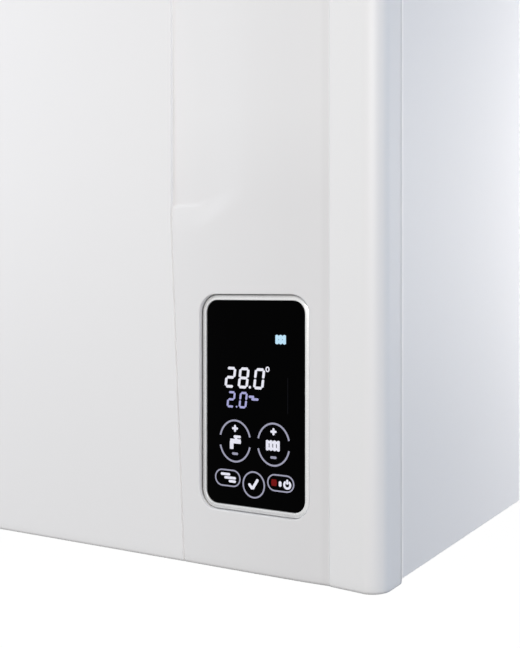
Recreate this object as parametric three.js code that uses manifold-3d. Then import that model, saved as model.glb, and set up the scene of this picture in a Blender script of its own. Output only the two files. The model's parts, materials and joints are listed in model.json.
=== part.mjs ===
// Wall-hung combi boiler, millimetres, +Z up, +X to the right and +Y towards the wall.
// The origin is the middle of the wall bracket's back face. Most pieces stand in the "casing"
// group, whose zero height is the lowest edge of the front cover.
import * as THREE from 'three';
import { mergeVertices } from 'three/addons/utils/BufferGeometryUtils.js';
import Module from 'manifold-3d';

const wasm = await Module();
wasm.setup();

// ---------------------------------------------------------------- driving dimensions
const WIDTH = 410;                 // casing
const HEIGHT = 720;
const DEPTH = 290;                 // wall to the foremost line of the cover
const BRACKET_HEIGHT = 650;        // bracket's middle above the cover's lowest edge
const SHEET = 1.5;                 // steel sheet
const FIT = 0.3;                   // clearance between pieces that seat on each other
const SOCKET_FIT = 0.8;            // clearance round a pipe in its socket
const RUN = 1;                     // running clearance round what turns
const EDGE_STEP = 4;               // cover hangs this much past the side panels, below and above

// front cover
const COVER_SKIRT = 29.7;          // how far it wraps back round the side
const COVER_WALL = 2.4;
const CORNER_R = 13;
const RAIL_W = 37;                 // corner rail, from the side to the crease
const RAIL_RISE = 2.6;             // its front edge stands before the main face
const BAND_CROWN = 1.3;            // the display band bulges this much
const CREASE_DIP = 1.0;            // and falls this much just before the crease
const SEAM_TOP_X = 157.3;          // seam from the right side, over the fold
const SEAM_FOOT_X = 146.3;         // and at the lowest edge
const SEAM_BEND_Z = 235;
const SEAM_W = 1.2;
const SEAM_D = 1.2;
const SCOOP_D = 2.2;               // shallow scoop beside the seam
const SCOOP_W = 62;
const SCOOP_FLAT = 28;             // its flat bottom, from the seam
const SCOOP_TOP = 460;
const FOLD_Z = 241.5;              // fold that closes the scoop below, level beside the seam
const FOLD_FLAT = 21;
const FOLD_SLOPE = 0.5;            // then it climbs away from the seam
const FILLET_H = 21;               // fillet under the fold, at the seam
const FILLET_FALL = 0.4;           // and how fast it narrows
const FILLET_MIN = 3;

// display
const DISPLAY_X = 91.4;            // middle, from the right side
const BEZEL_W = 84.8;
const BEZEL_LOW = 39.1;
const BEZEL_HIGH = 182.4;
const BEZEL_R = 12;
const BEZEL_RIM = 5.2;
const BEZEL_T = 6;
const BEZEL_SINK = 1.6;            // bezel's face behind the main face
const WINDOW_GAP = 0.9;
const GLASS_R = 8;
const GLASS_T = 3;
const GLASS_SINK = 0.6;

// control box, tips forward on two pins
const BOX_SIDE_GAP = 15;            // box to the casing's side plane
const BOX_LOW = 14;
const BOX_HIGH = 250;
const BOX_D = 48;
const BOX_WALL = 2.5;
const BOX_FRONT_GAP = 25.5;        // box front to the main face
const PIN_R = 3;
const PIN_L = 12;
const PIN_Z = 21;
const PIN_Y_FROM_FRONT = 9;
const BOARD_T = 1.6;

// back panel and wall bracket
const WALL_GAP = 12;
const BRACKET_L = 300;
const BRACKET_H = 55;
const BRACKET_T = 2;
const LIP_H = 9;
const HOOK_W = 60;
const HOOK_X = 100;
const PANEL_FLANGE = 20;
const FRONT_FLANGE = 9;

// connections under the casing
const TAIL_PITCH = 65;
const TAIL_Y = 110;                // from the wall
const TAIL_DROP = 28;
const TAIL_R = 10;
const TAIL_BORE = 7;
const COLLAR_R = 15;
const PIPE_R = 8;
const MAIN_PIPE_R = 11;

// heat exchanger and burner
const DRUM_X = 70;
const DRUM_Z = 440;
const DRUM_R = 112;
const DRUM_WALL = 3;
const DRUM_BACK = 90;              // from the wall
const DRUM_FRONT = 205;
const COIL_R = 8.5;
const COIL_TURNS = 4;
const COIL_PITCH = 19;
const COIL_SEAT = 0.1;             // the winding's corners to the drum's wall
const DOOR_T = 8;
const GASKET_T = 2;
const BURNER_R = 33;
const BURNER_L = 72;
const CHANNEL_T = 24;

// fan
const FAN_X = -118;
const FAN_WALL = 3;
const VOLUTE_R0 = 56;
const VOLUTE_R1 = 76;
const VOLUTE_TONGUE = 55;          // degrees
const OUTLET_H = 30;
const IMPELLER_R = 47;
const IMPELLER_W = 15;
const FAN_BLADES = 9;
const INLET_R = 30;
const SHAFT_R = 3.5;
const MOTOR_R = 38;
const MOTOR_L = 30;

// flue
const FLUE_Y = 145;                // from the wall
const FLUE_R = 30;
const AIR_R = 50;
const ADAPTER_H = 38;
const TUBE_T = 1.5;

// expansion vessel
const VESSEL_R = 160;
const VESSEL_Z = 505;
const VESSEL_T = 70;

// pump
const PUMP_Z = 110;
const PUMP_R = 42;
const PUMP_D = 38;
const PUMP_WALL = 6;
const PUMP_MOTOR_R = 44;
const PUMP_MOTOR_L = 62;
const PUMP_IMPELLER_R = 32;
const PUMP_BLADES = 6;

// ---------------------------------------------------------------- places worked out from them
const HALF = WIDTH / 2;
const MAIN_Y = -(DEPTH - RAIL_RISE);                 // main face of the cover
const SPLIT_Y = -(DEPTH - COVER_SKIRT);              // rear edge of the cover
const SIDE_LOW = EDGE_STEP;
const SIDE_HIGH = HEIGHT - EDGE_STEP;
const FLOOR_Z = SIDE_LOW + SHEET + FIT;              // underside of the bottom plate
const FLOOR_TOP = FLOOR_Z + SHEET;
const DISPLAY_CX = HALF - DISPLAY_X;
const DISPLAY_CZ = (BEZEL_LOW + BEZEL_HIGH) / 2;
const BEZEL_H = BEZEL_HIGH - BEZEL_LOW;
const BEZEL_FACE = MAIN_Y + BEZEL_SINK;
const BOX_W = WIDTH - 2 * BOX_SIDE_GAP;
const BOX_FRONT = MAIN_Y + BOX_FRONT_GAP;
const BOX_BACK = BOX_FRONT + BOX_D;
const PANEL_Y = -WALL_GAP;                           // back of the back panel
const PIPE_Y = -TAIL_Y;

// ---------------------------------------------------------------- colours and finishes
const finish = (color, roughness, metalness) => () =>
  new THREE.MeshStandardMaterial({ color, roughness, metalness });
const WHITE_PAINT = finish('#eceaec', 0.35, 0);
const ZINC = finish('#b9bcbf', 0.45, 0.9);
const STAINLESS = finish('#c9cbcc', 0.3, 1);
const ALUMINIUM = finish('#bfc2c4', 0.5, 0.9);
const COPPER = finish('#b8734a', 0.35, 1);
const BRASS = finish('#c3a25a', 0.35, 1);
const GREY_PLASTIC = finish('#6c7074', 0.6, 0);
const BLACK_PLASTIC = finish('#1d1e20', 0.55, 0);
const PALE_PLASTIC = finish('#d8d9d8', 0.5, 0);
const BOARD_GREEN = finish('#1f5a36', 0.5, 0);
const SILVER = finish('#dfe0e2', 0.3, 0.4);
const GLASS_BLACK = finish('#08080a', 0.08, 0);
const RED_PAINT = finish('#a8201c', 0.4, 0);
const RED_PLASTIC = finish('#b3261e', 0.45, 0);
const BLUE_PLASTIC = finish('#2b5fa5', 0.45, 0);
const RUBBER = finish('#2a2a2b', 0.8, 0);
const SILICONE = finish('#8f3b2f', 0.7, 0);

// ---------------------------------------------------------------- solids
// A closed geometry as a solid: shared vertices merged, spent triangles dropped, faces outwards.
function solid(geometry) {
  const bare = geometry.clone();
  bare.deleteAttribute('normal');
  bare.deleteAttribute('uv');
  const merged = mergeVertices(bare, 1e-4);
  const at = merged.attributes.position.array;
  const index = merged.index.array;
  let keep = [];
  let volume = 0;
  for (let i = 0; i < index.length; i += 3) {
    const [a, b, c] = [index[i], index[i + 1], index[i + 2]];
    if (a === b || b === c || a === c) continue;
    keep.push(a, b, c);
    const corner = [a, b, c].map((k) => new THREE.Vector3(at[3 * k], at[3 * k + 1], at[3 * k + 2]));
    volume += corner[0].dot(corner[1].cross(corner[2]));
  }
  if (volume < 0) keep = keep.reverse();
  return new wasm.Manifold(new wasm.Mesh({
    numProp: 3, vertProperties: new Float32Array(at), triVerts: new Uint32Array(keep),
  }));
}

function geometryOf(manifold) {
  const mesh = manifold.getMesh();
  const geometry = new THREE.BufferGeometry();
  geometry.setAttribute('position', new THREE.BufferAttribute(new Float32Array(mesh.vertProperties), 3));
  geometry.setIndex(new THREE.BufferAttribute(new Uint32Array(mesh.triVerts), 1));
  geometry.computeVertexNormals();
  return geometry;
}

const join = (...solids) => solids.reduce((whole, next) => whole.add(next));
const cut = (whole, ...tools) => tools.reduce((rest, tool) => rest.subtract(tool), whole);

// Block between two opposite corners.
function block([x0, y0, z0], [x1, y1, z1]) {
  const geometry = new THREE.BoxGeometry(Math.abs(x1 - x0), Math.abs(y1 - y0), Math.abs(z1 - z0));
  return solid(geometry.translate((x0 + x1) / 2, (y0 + y1) / 2, (z0 + z1) / 2));
}

// Lathe profile points are [radius, place along the axis]; AXIS_TURN lays the axis along x, y or z.
const AXIS_TURN = {
  x: (g) => g.rotateZ(-Math.PI / 2),
  y: (g) => g,
  z: (g) => g.rotateX(Math.PI / 2),
};

function lathe(profile, axis, [x, y, z], sides = 16) {
  const points = profile.map(([r, a]) => new THREE.Vector2(r, a));
  return solid(AXIS_TURN[axis](new THREE.LatheGeometry(points, sides)).translate(x, y, z));
}

// Full cylinder from a0 to a1 along its axis, about the point given.
const rod = (radius, a0, a1, axis, centre, sides = 12) =>
  lathe([[0, a0], [radius, a0], [radius, a1], [0, a1]], axis, centre, sides);

// Closed ring: inner and outer radius, from a0 to a1.
const ring = (inner, outer, a0, a1, axis, centre, sides = 16) =>
  lathe([[inner, a0], [outer, a0], [outer, a1], [inner, a1], [inner, a0]], axis, centre, sides);

function roundedRect(width, height, radius) {
  const [w, h] = [width / 2, height / 2];
  const shape = new THREE.Shape();
  shape.moveTo(-w + radius, -h);
  shape.lineTo(w - radius, -h);
  shape.absarc(w - radius, -h + radius, radius, -Math.PI / 2, 0);
  shape.lineTo(w, h - radius);
  shape.absarc(w - radius, h - radius, radius, 0, Math.PI / 2);
  shape.lineTo(-w + radius, h);
  shape.absarc(-w + radius, h - radius, radius, Math.PI / 2, Math.PI);
  shape.lineTo(-w, -h + radius);
  shape.absarc(-w + radius, -h + radius, radius, Math.PI, 1.5 * Math.PI);
  return shape;
}

// Shape drawn in x and z, extruded from y0 back to y1.
function facing(shape, y0, y1, [x, z], curveSegments = 5) {
  const geometry = new THREE.ExtrudeGeometry(shape, { depth: Math.abs(y1 - y0), bevelEnabled: false, curveSegments });
  return solid(geometry.rotateX(Math.PI / 2).translate(x, Math.max(y0, y1), z));
}

// Section drawn in x and y, extruded upwards from z0 to z1.
function upright(shape, z0, z1, [x, y] = [0, 0], curveSegments = 5) {
  const geometry = new THREE.ExtrudeGeometry(shape, { depth: z1 - z0, bevelEnabled: false, curveSegments });
  return solid(geometry.translate(x, y, z0));
}

const outline = (points) => new THREE.Shape(points.map(([a, b]) => new THREE.Vector2(a, b)));

// Pipe of one radius along straight runs, each corner turned on a bend.
function pipe(corners, radius, { bend = 2.2 * radius, sides = 8, stepLength = 0.9 * radius } = {}) {
  const at = corners.map((c) => new THREE.Vector3(...c));
  const route = new THREE.CurvePath();
  let from = at[0];
  for (let i = 1; i < at.length - 1; i += 1) {
    const before = at[i].clone().sub(at[i - 1]);
    const after = at[i + 1].clone().sub(at[i]);
    const spare = (leg, isEnd) => leg.length() * (isEnd ? 0.97 : 0.48);
    const reach = Math.min(bend, spare(before, i === 1), spare(after, i === at.length - 2));
    const turn = before.angleTo(after);
    const handle = (4 / 3) * Math.tan(turn / 4) * reach / Math.tan(turn / 2);
    const [into, out] = [before.normalize(), after.normalize()];
    const start = at[i].clone().addScaledVector(into, -reach);
    const end = at[i].clone().addScaledVector(out, reach);
    route.add(new THREE.LineCurve3(from, start));
    route.add(new THREE.CubicBezierCurve3(
      start, start.clone().addScaledVector(into, handle), end.clone().addScaledVector(out, -handle), end,
    ));
    from = end;
  }
  route.add(new THREE.LineCurve3(from, at[at.length - 1]));
  return solid(sweep(circle(radius, sides), pipeStations(route, stepLength)));
}

const circle = (radius, sides) => Array.from({ length: sides }, (_, i) => new THREE.Vector2(
  radius * Math.cos(2 * Math.PI * i / sides), radius * Math.sin(2 * Math.PI * i / sides),
));

// Points along the pipe: the ends of each straight run, and steps round each bend.
function pipeStations(route, stepLength) {
  const stations = [];
  route.curves.forEach((curve) => {
    const bent = curve.isCubicBezierCurve3;
    const steps = bent ? Math.max(4, Math.round(curve.getLength() / stepLength / 1.5)) : 1;
    for (let i = stations.length ? 1 : 0; i <= steps; i += 1) {
      stations.push({ at: curve.getPoint(i / steps), along: curve.getTangent(i / steps).normalize() });
    }
  });
  return stations;
}

// Section carried along the stations, turned no more than the route itself turns, ends closed flat.
function sweep(section, stations) {
  const count = section.length;
  const across = new THREE.Vector3(0.31, 0.83, 0.47);
  let side = across.clone().cross(stations[0].along).normalize();
  const vertices = [];
  stations.forEach(({ at, along }) => {
    side = side.addScaledVector(along, -side.dot(along)).normalize();
    const up = along.clone().cross(side);
    section.forEach((p) => vertices.push(...at.clone().addScaledVector(side, p.x).addScaledVector(up, p.y)));
  });
  const faces = [];
  for (let s = 0; s < stations.length - 1; s += 1) {
    for (let i = 0; i < count; i += 1) {
      const [a, b] = [s * count + i, s * count + ((i + 1) % count)];
      faces.push(a, b, b + count, a, b + count, a + count);
    }
  }
  const last = (stations.length - 1) * count;
  for (let i = 1; i < count - 1; i += 1) {
    faces.push(0, i + 1, i, last, last + i, last + i + 1);
  }
  const geometry = new THREE.BufferGeometry();
  geometry.setAttribute('position', new THREE.BufferAttribute(new Float32Array(vertices), 3));
  geometry.setIndex(faces);
  return geometry;
}

// ---------------------------------------------------------------- assembly
const boiler = new THREE.Group();
const casing = new THREE.Group();
casing.position.z = -BRACKET_HEIGHT;
boiler.add(casing);

function add(name, manifold, material, parent = casing) {
  const mesh = new THREE.Mesh(geometryOf(manifold), material());
  mesh.name = name;
  parent.add(mesh);
}

// ---------------------------------------------------------------- wall bracket and casing
const LIP_Y = PANEL_Y + 2.5 + SHEET;                  // lip's back face, clear of the hook
const SHELF_Z = BRACKET_H / 2;

function wallBracket() {
  const section = outline([
    [0, -SHELF_Z], [0, SHELF_Z], [LIP_Y + BRACKET_T - SHEET, SHELF_Z],
    [LIP_Y + BRACKET_T - SHEET, SHELF_Z + LIP_H], [LIP_Y - SHEET, SHELF_Z + LIP_H],
    [LIP_Y - SHEET, SHELF_Z - BRACKET_T], [-BRACKET_T, SHELF_Z - BRACKET_T], [-BRACKET_T, -SHELF_Z],
  ]);
  // The section lies in y and z, so the extrusion is turned to run along x.
  const rail = new THREE.ExtrudeGeometry(section, { depth: BRACKET_L, bevelEnabled: false });
  rail.rotateY(Math.PI / 2).rotateX(Math.PI / 2).translate(-BRACKET_L / 2, 0, 0);
  const holes = [-1, 1].map((side) => rod(4.5, -2 * BRACKET_T, BRACKET_T, 'y', [side * BRACKET_L * 0.38, 0, 0], 12));
  return cut(solid(rail), ...holes);
}

// The hook goes up over the bracket's lip and rests on its shelf.
function backPanel() {
  const x = HALF - SHEET - FIT;
  const [low, high] = [FLOOR_TOP + FIT, SIDE_HIGH - 2 * (SHEET + FIT)];
  const section = outline([
    [-x, PANEL_Y], [x, PANEL_Y], [x, PANEL_Y - PANEL_FLANGE], [x - SHEET, PANEL_Y - PANEL_FLANGE],
    [x - SHEET, PANEL_Y - SHEET], [-x + SHEET, PANEL_Y - SHEET],
    [-x + SHEET, PANEL_Y - PANEL_FLANGE], [-x, PANEL_Y - PANEL_FLANGE],
  ]);
  const shelf = BRACKET_HEIGHT + SHELF_Z;
  const lipTop = shelf + LIP_H;
  const tip = LIP_Y + BRACKET_T - SHEET + FIT;
  const hooks = [-1, 1].map((side) => {
    const [x0, x1] = [side * HOOK_X - HOOK_W / 2, side * HOOK_X + HOOK_W / 2];
    return join(
      block([x0, PANEL_Y - SHEET, lipTop + FIT], [x1, tip + SHEET, lipTop + FIT + SHEET]),
      block([x0, tip, shelf + FIT], [x1, tip + SHEET, lipTop + FIT + SHEET]),
    );
  });
  // Two pressed feet stand off the wall, low on the panel.
  const feet = [-1, 1].map((side) => lathe(
    [[0, PANEL_Y - SHEET], [24, PANEL_Y - SHEET], [24, PANEL_Y], [14, -FIT], [0, -FIT]],
    'y', [side * HOOK_X, 0, 60], 10,
  ));
  const ribs = [-1, 1].map((side) => facing(
    roundedRect(14, BRACKET_HEIGHT - 400, 6), PANEL_Y - SHEET - 3, PANEL_Y - SHEET + 0.5,
    [side * (HALF - 60), BRACKET_HEIGHT - 320], 2,
  ));
  return join(upright(section, low, high), ...hooks, ...feet, ...ribs);
}

// Side panel: sheet with a front flange the cover closes on, and flanges at the foot and the top.
function sidePanel(side) {
  const [out, inner] = [HALF, HALF - SHEET];
  const front = SPLIT_Y + FIT;
  const sheet = outline([
    [side * out, -1], [side * out, front], [side * (out - FRONT_FLANGE), front],
    [side * (out - FRONT_FLANGE), front + SHEET], [side * inner, front + SHEET], [side * inner, -1],
  ]);
  const flange = (z) => block([side * (out - 12), front, z], [side * inner, -1, z + SHEET]);
  return join(upright(sheet, SIDE_LOW, SIDE_HIGH), flange(SIDE_LOW), flange(SIDE_HIGH - SHEET));
}

const tailX = (place) => place * TAIL_PITCH;
const FILL_Y = PIPE_Y - 30;
const FILL_R = 13;
const TRAP = { x: 56, y: -186, r: 20 };
const SCREW_X = 150;
const SCREW_Y = SPLIT_Y - 8;
const SCREW_R = 2.5;
const PIN_Y = BOX_FRONT + PIN_Y_FROM_FRONT;
const EAR_X = BOX_W / 2 + 3;

function bottomPlate() {
  const x = HALF - SHEET - FIT;
  const [front, back] = [SPLIT_Y + FIT + SHEET + FIT, PANEL_Y - SHEET - FIT - PANEL_FLANGE];
  const sheet = block([-x, front, FLOOR_Z], [x, back, FLOOR_TOP]);
  const tabs = [-1, 1].map((side) => cut(
    block([side * SCREW_X - 12, SCREW_Y - 8, FLOOR_Z], [side * SCREW_X + 12, front + 2, FLOOR_TOP]),
    block([side * SCREW_X - SCREW_R - 1, SCREW_Y - 9, 0], [side * SCREW_X + SCREW_R + 1, SCREW_Y + SCREW_R + 1, 20]),
  ));
  const ears = [-1, 1].map((side) => cut(
    block([side * EAR_X, PIN_Y - 9, FLOOR_Z], [side * (EAR_X + 2), PIN_Y + 9, PIN_Z + 9]),
    rod(PIN_R + FIT, -30, 30, 'x', [side * EAR_X, PIN_Y, PIN_Z]),
  ));
  const hole = (px, py, r) => rod(r, 0, 20, 'z', [px, py, 0], 10);
  return cut(
    join(sheet, ...tabs, ...ears),
    ...[-2, -1, 0, 1, 2].map((k) => hole(tailX(k), PIPE_Y, TAIL_R + 1)),
    hole(tailX(1), FILL_Y, 6),
    hole(TRAP.x, TRAP.y, 10.5),
  );
}

function topPanel() {
  const x = HALF - SHEET - FIT;
  const high = SIDE_HIGH - SHEET - FIT;
  const [front, back] = [SPLIT_Y + FIT + SHEET + FIT, PANEL_Y - SHEET - FIT];
  const lip = block([-x + 14, front, high - 18], [x - 14, front + SHEET, high]);
  return cut(
    join(block([-x, front, high - SHEET], [x, back, high]), lip),
    rod(AIR_R + 2, high - 10, high + 10, 'z', [0, -FLUE_Y, 0], 24),
  );
}

// ---------------------------------------------------------------- front cover
// Column places across the cover from the right side plane, at height z.
function coverColumns(z) {
  const seam = z >= SEAM_BEND_Z ? SEAM_TOP_X
    : SEAM_FOOT_X + (SEAM_TOP_X - SEAM_FOOT_X) * (z / SEAM_BEND_Z);
  const band = (share) => RAIL_W + 2 + (seam - SEAM_W / 2 - RAIL_W - 2) * share;
  const corner = [0, 0.35, 0.65, 1].map((t) => CORNER_R * (1 - Math.cos(t * Math.PI / 2)));
  return [
    ...corner, CORNER_R + 9, RAIL_W - 1, RAIL_W + 2, band(0.09),
    band(0.24), band(0.42), band(0.6), band(0.78), band(0.9), band(1),
    seam, seam + SEAM_W / 2, seam + 30, WIDTH - RAIL_W - 14, WIDTH - RAIL_W - 2, WIDTH - RAIL_W + 1,
    WIDTH - CORNER_R - 9, ...corner.map((c) => WIDTH - c).reverse(),
  ];
}

// How far the face stands before the main face, at a place across (from the right) and a height.
function coverRelief(u, z, column) {
  const fromSide = Math.min(u, WIDTH - u);
  if (fromSide < CORNER_R) {
    const c = 1 - fromSide / CORNER_R;
    return RAIL_RISE - CORNER_R * (1 - Math.sqrt(Math.max(0, 1 - c * c)));
  }
  if (fromSide < RAIL_W) {
    const share = (fromSide - CORNER_R) / (RAIL_W - CORNER_R);
    return RAIL_RISE * (1 - share) + 0.4 * Math.sin(share * Math.PI);
  }
  const columns = coverColumns(z);
  const seam = columns[14];
  if (column === 14) return -SEAM_D;
  if (u > seam) return u > WIDTH - RAIL_W - 6 ? -CREASE_DIP * 0.5 : 0;
  const share = (u - RAIL_W) / (seam - RAIL_W);
  const crown = BAND_CROWN * Math.sin(Math.PI * share) - CREASE_DIP * Math.max(0, 1 - share * 5);
  return crown - scoopDepth(seam - u, z);
}

// Scoop beside the seam: flat, then rising to the band; the fold and its fillet close it below.
function scoopDepth(fromSeam, z) {
  if (fromSeam < 0 || fromSeam > SCOOP_W) return 0;
  const climb = Math.max(0, fromSeam - SCOOP_FLAT) / (SCOOP_W - SCOOP_FLAT);
  const across = 1 - climb * climb * (3 - 2 * climb);
  const fold = FOLD_Z + FOLD_SLOPE * Math.max(0, fromSeam - FOLD_FLAT);
  const fillet = Math.max(FILLET_MIN, FILLET_H - FILLET_FALL * fromSeam);
  const rise = Math.min(1, Math.max(0, (z - fold + fillet) / fillet));
  const fade = Math.min(1, Math.max(0, (SCOOP_TOP - z) / (SCOOP_TOP - FOLD_Z)));
  return SCOOP_D * across * rise * Math.sqrt(fade);
}

// Outer block of the cover: one ring of points per height, front relief and straight skirts.
function coverBlock() {
  const heights = [0, 1.2, 120, 208, 221, 232, 242, 252, 264, 300, 360, 420, 460, 718.8, 720]
    .map((z) => z * HEIGHT / 720);
  const rings = heights.map((z, row) => {
    const eased = row === 0 || row === heights.length - 1 ? 1.2 : 0;
    const columns = coverColumns(z);
    const front = columns.map((u, column) => {
      const x = Math.max(-HALF + eased, Math.min(HALF - eased, HALF - u));
      return [x, MAIN_Y - coverRelief(u, z, column) + eased, z];
    });
    return [[HALF - eased, SPLIT_Y, z], ...front, [-HALF + eased, SPLIT_Y, z]];
  });
  const count = rings[0].length;
  const faces = [];
  for (let r = 0; r < rings.length - 1; r += 1) {
    for (let i = 0; i < count; i += 1) {
      const [a, b] = [r * count + i, r * count + ((i + 1) % count)];
      faces.push(a, b, b + count, a, b + count, a + count);
    }
  }
  const geometry = new THREE.BufferGeometry();
  const vertices = rings.flat(2);
  const lidAt = (ringPoints, offset, turn) => {
    const flat = ringPoints.map(([x, y]) => new THREE.Vector2(x, y));
    THREE.ShapeUtils.triangulateShape(flat, []).forEach(([a, b, c]) => {
      faces.push(...(turn ? [a, b, c] : [a, c, b]).map((k) => k + offset));
    });
  };
  lidAt(rings[0], 0, true);
  lidAt(rings[rings.length - 1], (rings.length - 1) * count, false);
  geometry.setAttribute('position', new THREE.BufferAttribute(new Float32Array(vertices), 3));
  geometry.setIndex(faces);
  return solid(geometry);
}

function frontCover() {
  const w = HALF - COVER_WALL;
  const inside = MAIN_Y + COVER_WALL + SCOOP_D;
  const hollow = outline([
    [w, SPLIT_Y + 5], [w, inside + 8], [w - 9, inside - 1.6], [HALF - RAIL_W + 4, inside],
    [-HALF + RAIL_W - 4, inside], [-w + 9, inside - 1.6], [-w, inside + 8], [-w, SPLIT_Y + 5],
  ]);
  const opening = roundedRect(BEZEL_W + 2 * WINDOW_GAP, BEZEL_H + 2 * WINDOW_GAP, BEZEL_R + WINDOW_GAP);
  return cut(
    coverBlock(),
    upright(hollow, COVER_WALL, HEIGHT - COVER_WALL),
    facing(opening, MAIN_Y - 10, inside + 2, [DISPLAY_CX, DISPLAY_CZ]),
    ...[-1, 1].map((side) => rod(SCREW_R + FIT, -5, 5, 'z', [side * SCREW_X, SCREW_Y, 0], 12)),
  );
}

// Quarter-turn screw, captive in the cover's foot and standing in an open notch of the plate.
const coverScrew = (side) => join(
  lathe([[0, -2.6], [3.2, -2.6], [4.6, -FIT - 0.6], [4.6, -FIT], [0, -FIT]], 'z', [side * SCREW_X, SCREW_Y, 0], 14),
  rod(SCREW_R, -1, FLOOR_TOP + 3, 'z', [side * SCREW_X, SCREW_Y, 0], 12),
);
const screwRing = (side) => ring(SCREW_R - 0.2, SCREW_R + 1.8, COVER_WALL + FIT, COVER_WALL + FIT + 1, 'z',
  [side * SCREW_X, SCREW_Y, 0], 12);

add('wall_bracket', wallBracket(), ZINC, boiler);
add('back_panel', backPanel(), ZINC);
add('side_panel_left', sidePanel(-1), WHITE_PAINT);
add('side_panel_right', sidePanel(1), WHITE_PAINT);
add('bottom_plate', bottomPlate(), ZINC);
add('top_panel', topPanel(), ZINC);
add('front_cover', frontCover(), WHITE_PAINT);
add('cover_screw_left', join(coverScrew(-1), screwRing(-1)), ZINC);
add('cover_screw_right', join(coverScrew(1), screwRing(1)), ZINC);

// ---------------------------------------------------------------- control box and display
const HOUSING_FRONT = BEZEL_FACE + BEZEL_T + FIT;     // the box's display housing, behind the bezel
const HOUSING_W = BEZEL_W + 6;
const HOUSING_H = BEZEL_H + 6;
const POCKET_W = BEZEL_W - 2 * BEZEL_RIM - 2;
const POCKET_H = BEZEL_H - 2 * BEZEL_RIM - 2;
const displayRect = (grow, radius) => roundedRect(BEZEL_W + grow, BEZEL_H + grow, radius);
const AT_DISPLAY = [DISPLAY_CX, DISPLAY_CZ];

function controlBox() {
  const middle = [0, (BOX_LOW + BOX_HIGH) / 2];
  const height = BOX_HIGH - BOX_LOW;
  const shell = cut(
    facing(roundedRect(BOX_W, height, 8), BOX_FRONT, BOX_BACK, middle, 2),
    facing(roundedRect(BOX_W - 2 * BOX_WALL, height - 2 * BOX_WALL, 6), BOX_FRONT + BOX_WALL, BOX_BACK + 1, middle, 2),
  );
  const housing = facing(roundedRect(HOUSING_W, HOUSING_H, BEZEL_R + 2), HOUSING_FRONT, BOX_FRONT + 1, AT_DISPLAY, 3);
  const pocket = facing(roundedRect(POCKET_W, POCKET_H, GLASS_R - 2), HOUSING_FRONT - 1, BOX_FRONT + BOX_WALL + 1, AT_DISPLAY, 3);
  const bosses = [-1, 1].map((side) => rod(
    PIN_R + 4, Math.min(side * (BOX_W / 2 - 14), side * BOX_W / 2), Math.max(side * (BOX_W / 2 - 14), side * BOX_W / 2),
    'x', [0, PIN_Y, PIN_Z], 10,
  ));
  const vents = [0, 1, 2, 3].map((k) => block(
    [-150 + k * 14, BOX_FRONT + 10, BOX_HIGH - 2 * BOX_WALL], [-144 + k * 14, BOX_BACK - 10, BOX_HIGH + 1],
  ));
  const bores = [-1, 1].map((side) => rod(PIN_R + FIT, -20, 20, 'x', [side * BOX_W / 2, PIN_Y, PIN_Z], 14));
  return cut(join(shell, housing, ...bosses), pocket, ...vents, ...bores);
}

// Pin through the ear into the box's boss, with a head outside.
function hingePin(side) {
  const [head, ear] = [side * (EAR_X + 2 + FIT), side * (BOX_W / 2 - PIN_L)];
  const shank = rod(PIN_R, Math.min(ear, head), Math.max(ear, head), 'x', [0, PIN_Y, PIN_Z], 14);
  const cap = side * (EAR_X + 4.5);
  return join(shank, rod(PIN_R + 2, Math.min(cap, head), Math.max(cap, head), 'x', [0, PIN_Y, PIN_Z], 14));
}

function displayBezel() {
  const opening = roundedRect(BEZEL_W - 2 * BEZEL_RIM, BEZEL_H - 2 * BEZEL_RIM, GLASS_R);
  const faceStep = 0.8;
  return cut(
    join(
      facing(displayRect(0, BEZEL_R), BEZEL_FACE + faceStep, BEZEL_FACE + BEZEL_T, AT_DISPLAY, 4),
      facing(displayRect(-1.2, BEZEL_R - 0.6), BEZEL_FACE, BEZEL_FACE + faceStep, AT_DISPLAY, 4),
    ),
    facing(opening, BEZEL_FACE - 1, BEZEL_FACE + BEZEL_T + 1, AT_DISPLAY, 4),
  );
}

function touchGlass() {
  const width = BEZEL_W - 2 * BEZEL_RIM - 2 * FIT;
  const height = BEZEL_H - 2 * BEZEL_RIM - 2 * FIT;
  const face = BEZEL_FACE + GLASS_SINK;
  return facing(roundedRect(width, height, GLASS_R - FIT), face, face + GLASS_T, AT_DISPLAY, 4);
}

// The module's rear part fills the housing's pocket, behind the glass.
function lcdModule() {
  const back = BEZEL_FACE + GLASS_SINK + GLASS_T + FIT;
  return facing(roundedRect(POCKET_W - 2 * FIT, POCKET_H - 2 * FIT, GLASS_R - 1), back, back + 7, AT_DISPLAY, 3);
}

const BOARD_FRONT = BOX_FRONT + 22;
function mainBoard() {
  const board = block([-170, BOARD_FRONT, 40], [40, BOARD_FRONT + BOARD_T, 225]);
  const part = (x, z, w, h, d) => block([x, BOARD_FRONT - d, z], [x + w, BOARD_FRONT + 0.2, z + h]);
  const posts = [[-160, 50], [-160, 212], [28, 50], [28, 212]].map(([x, z]) => rod(
    4, BOX_FRONT + BOX_WALL + FIT, BOARD_FRONT + 0.2, 'y', [x, 0, z], 8,
  ));
  const relays = [0, 1, 2].map((k) => part(-150 + 26 * k, 185, 20, 28, 15));
  const plugs = [0, 1, 2, 3, 4].map((k) => part(-150 + 34 * k, 48, 24, 10, 12));
  return join(board, ...posts, ...relays, ...plugs, part(-140, 90, 42, 40, 17), part(-60, 100, 24, 24, 4));
}

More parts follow.
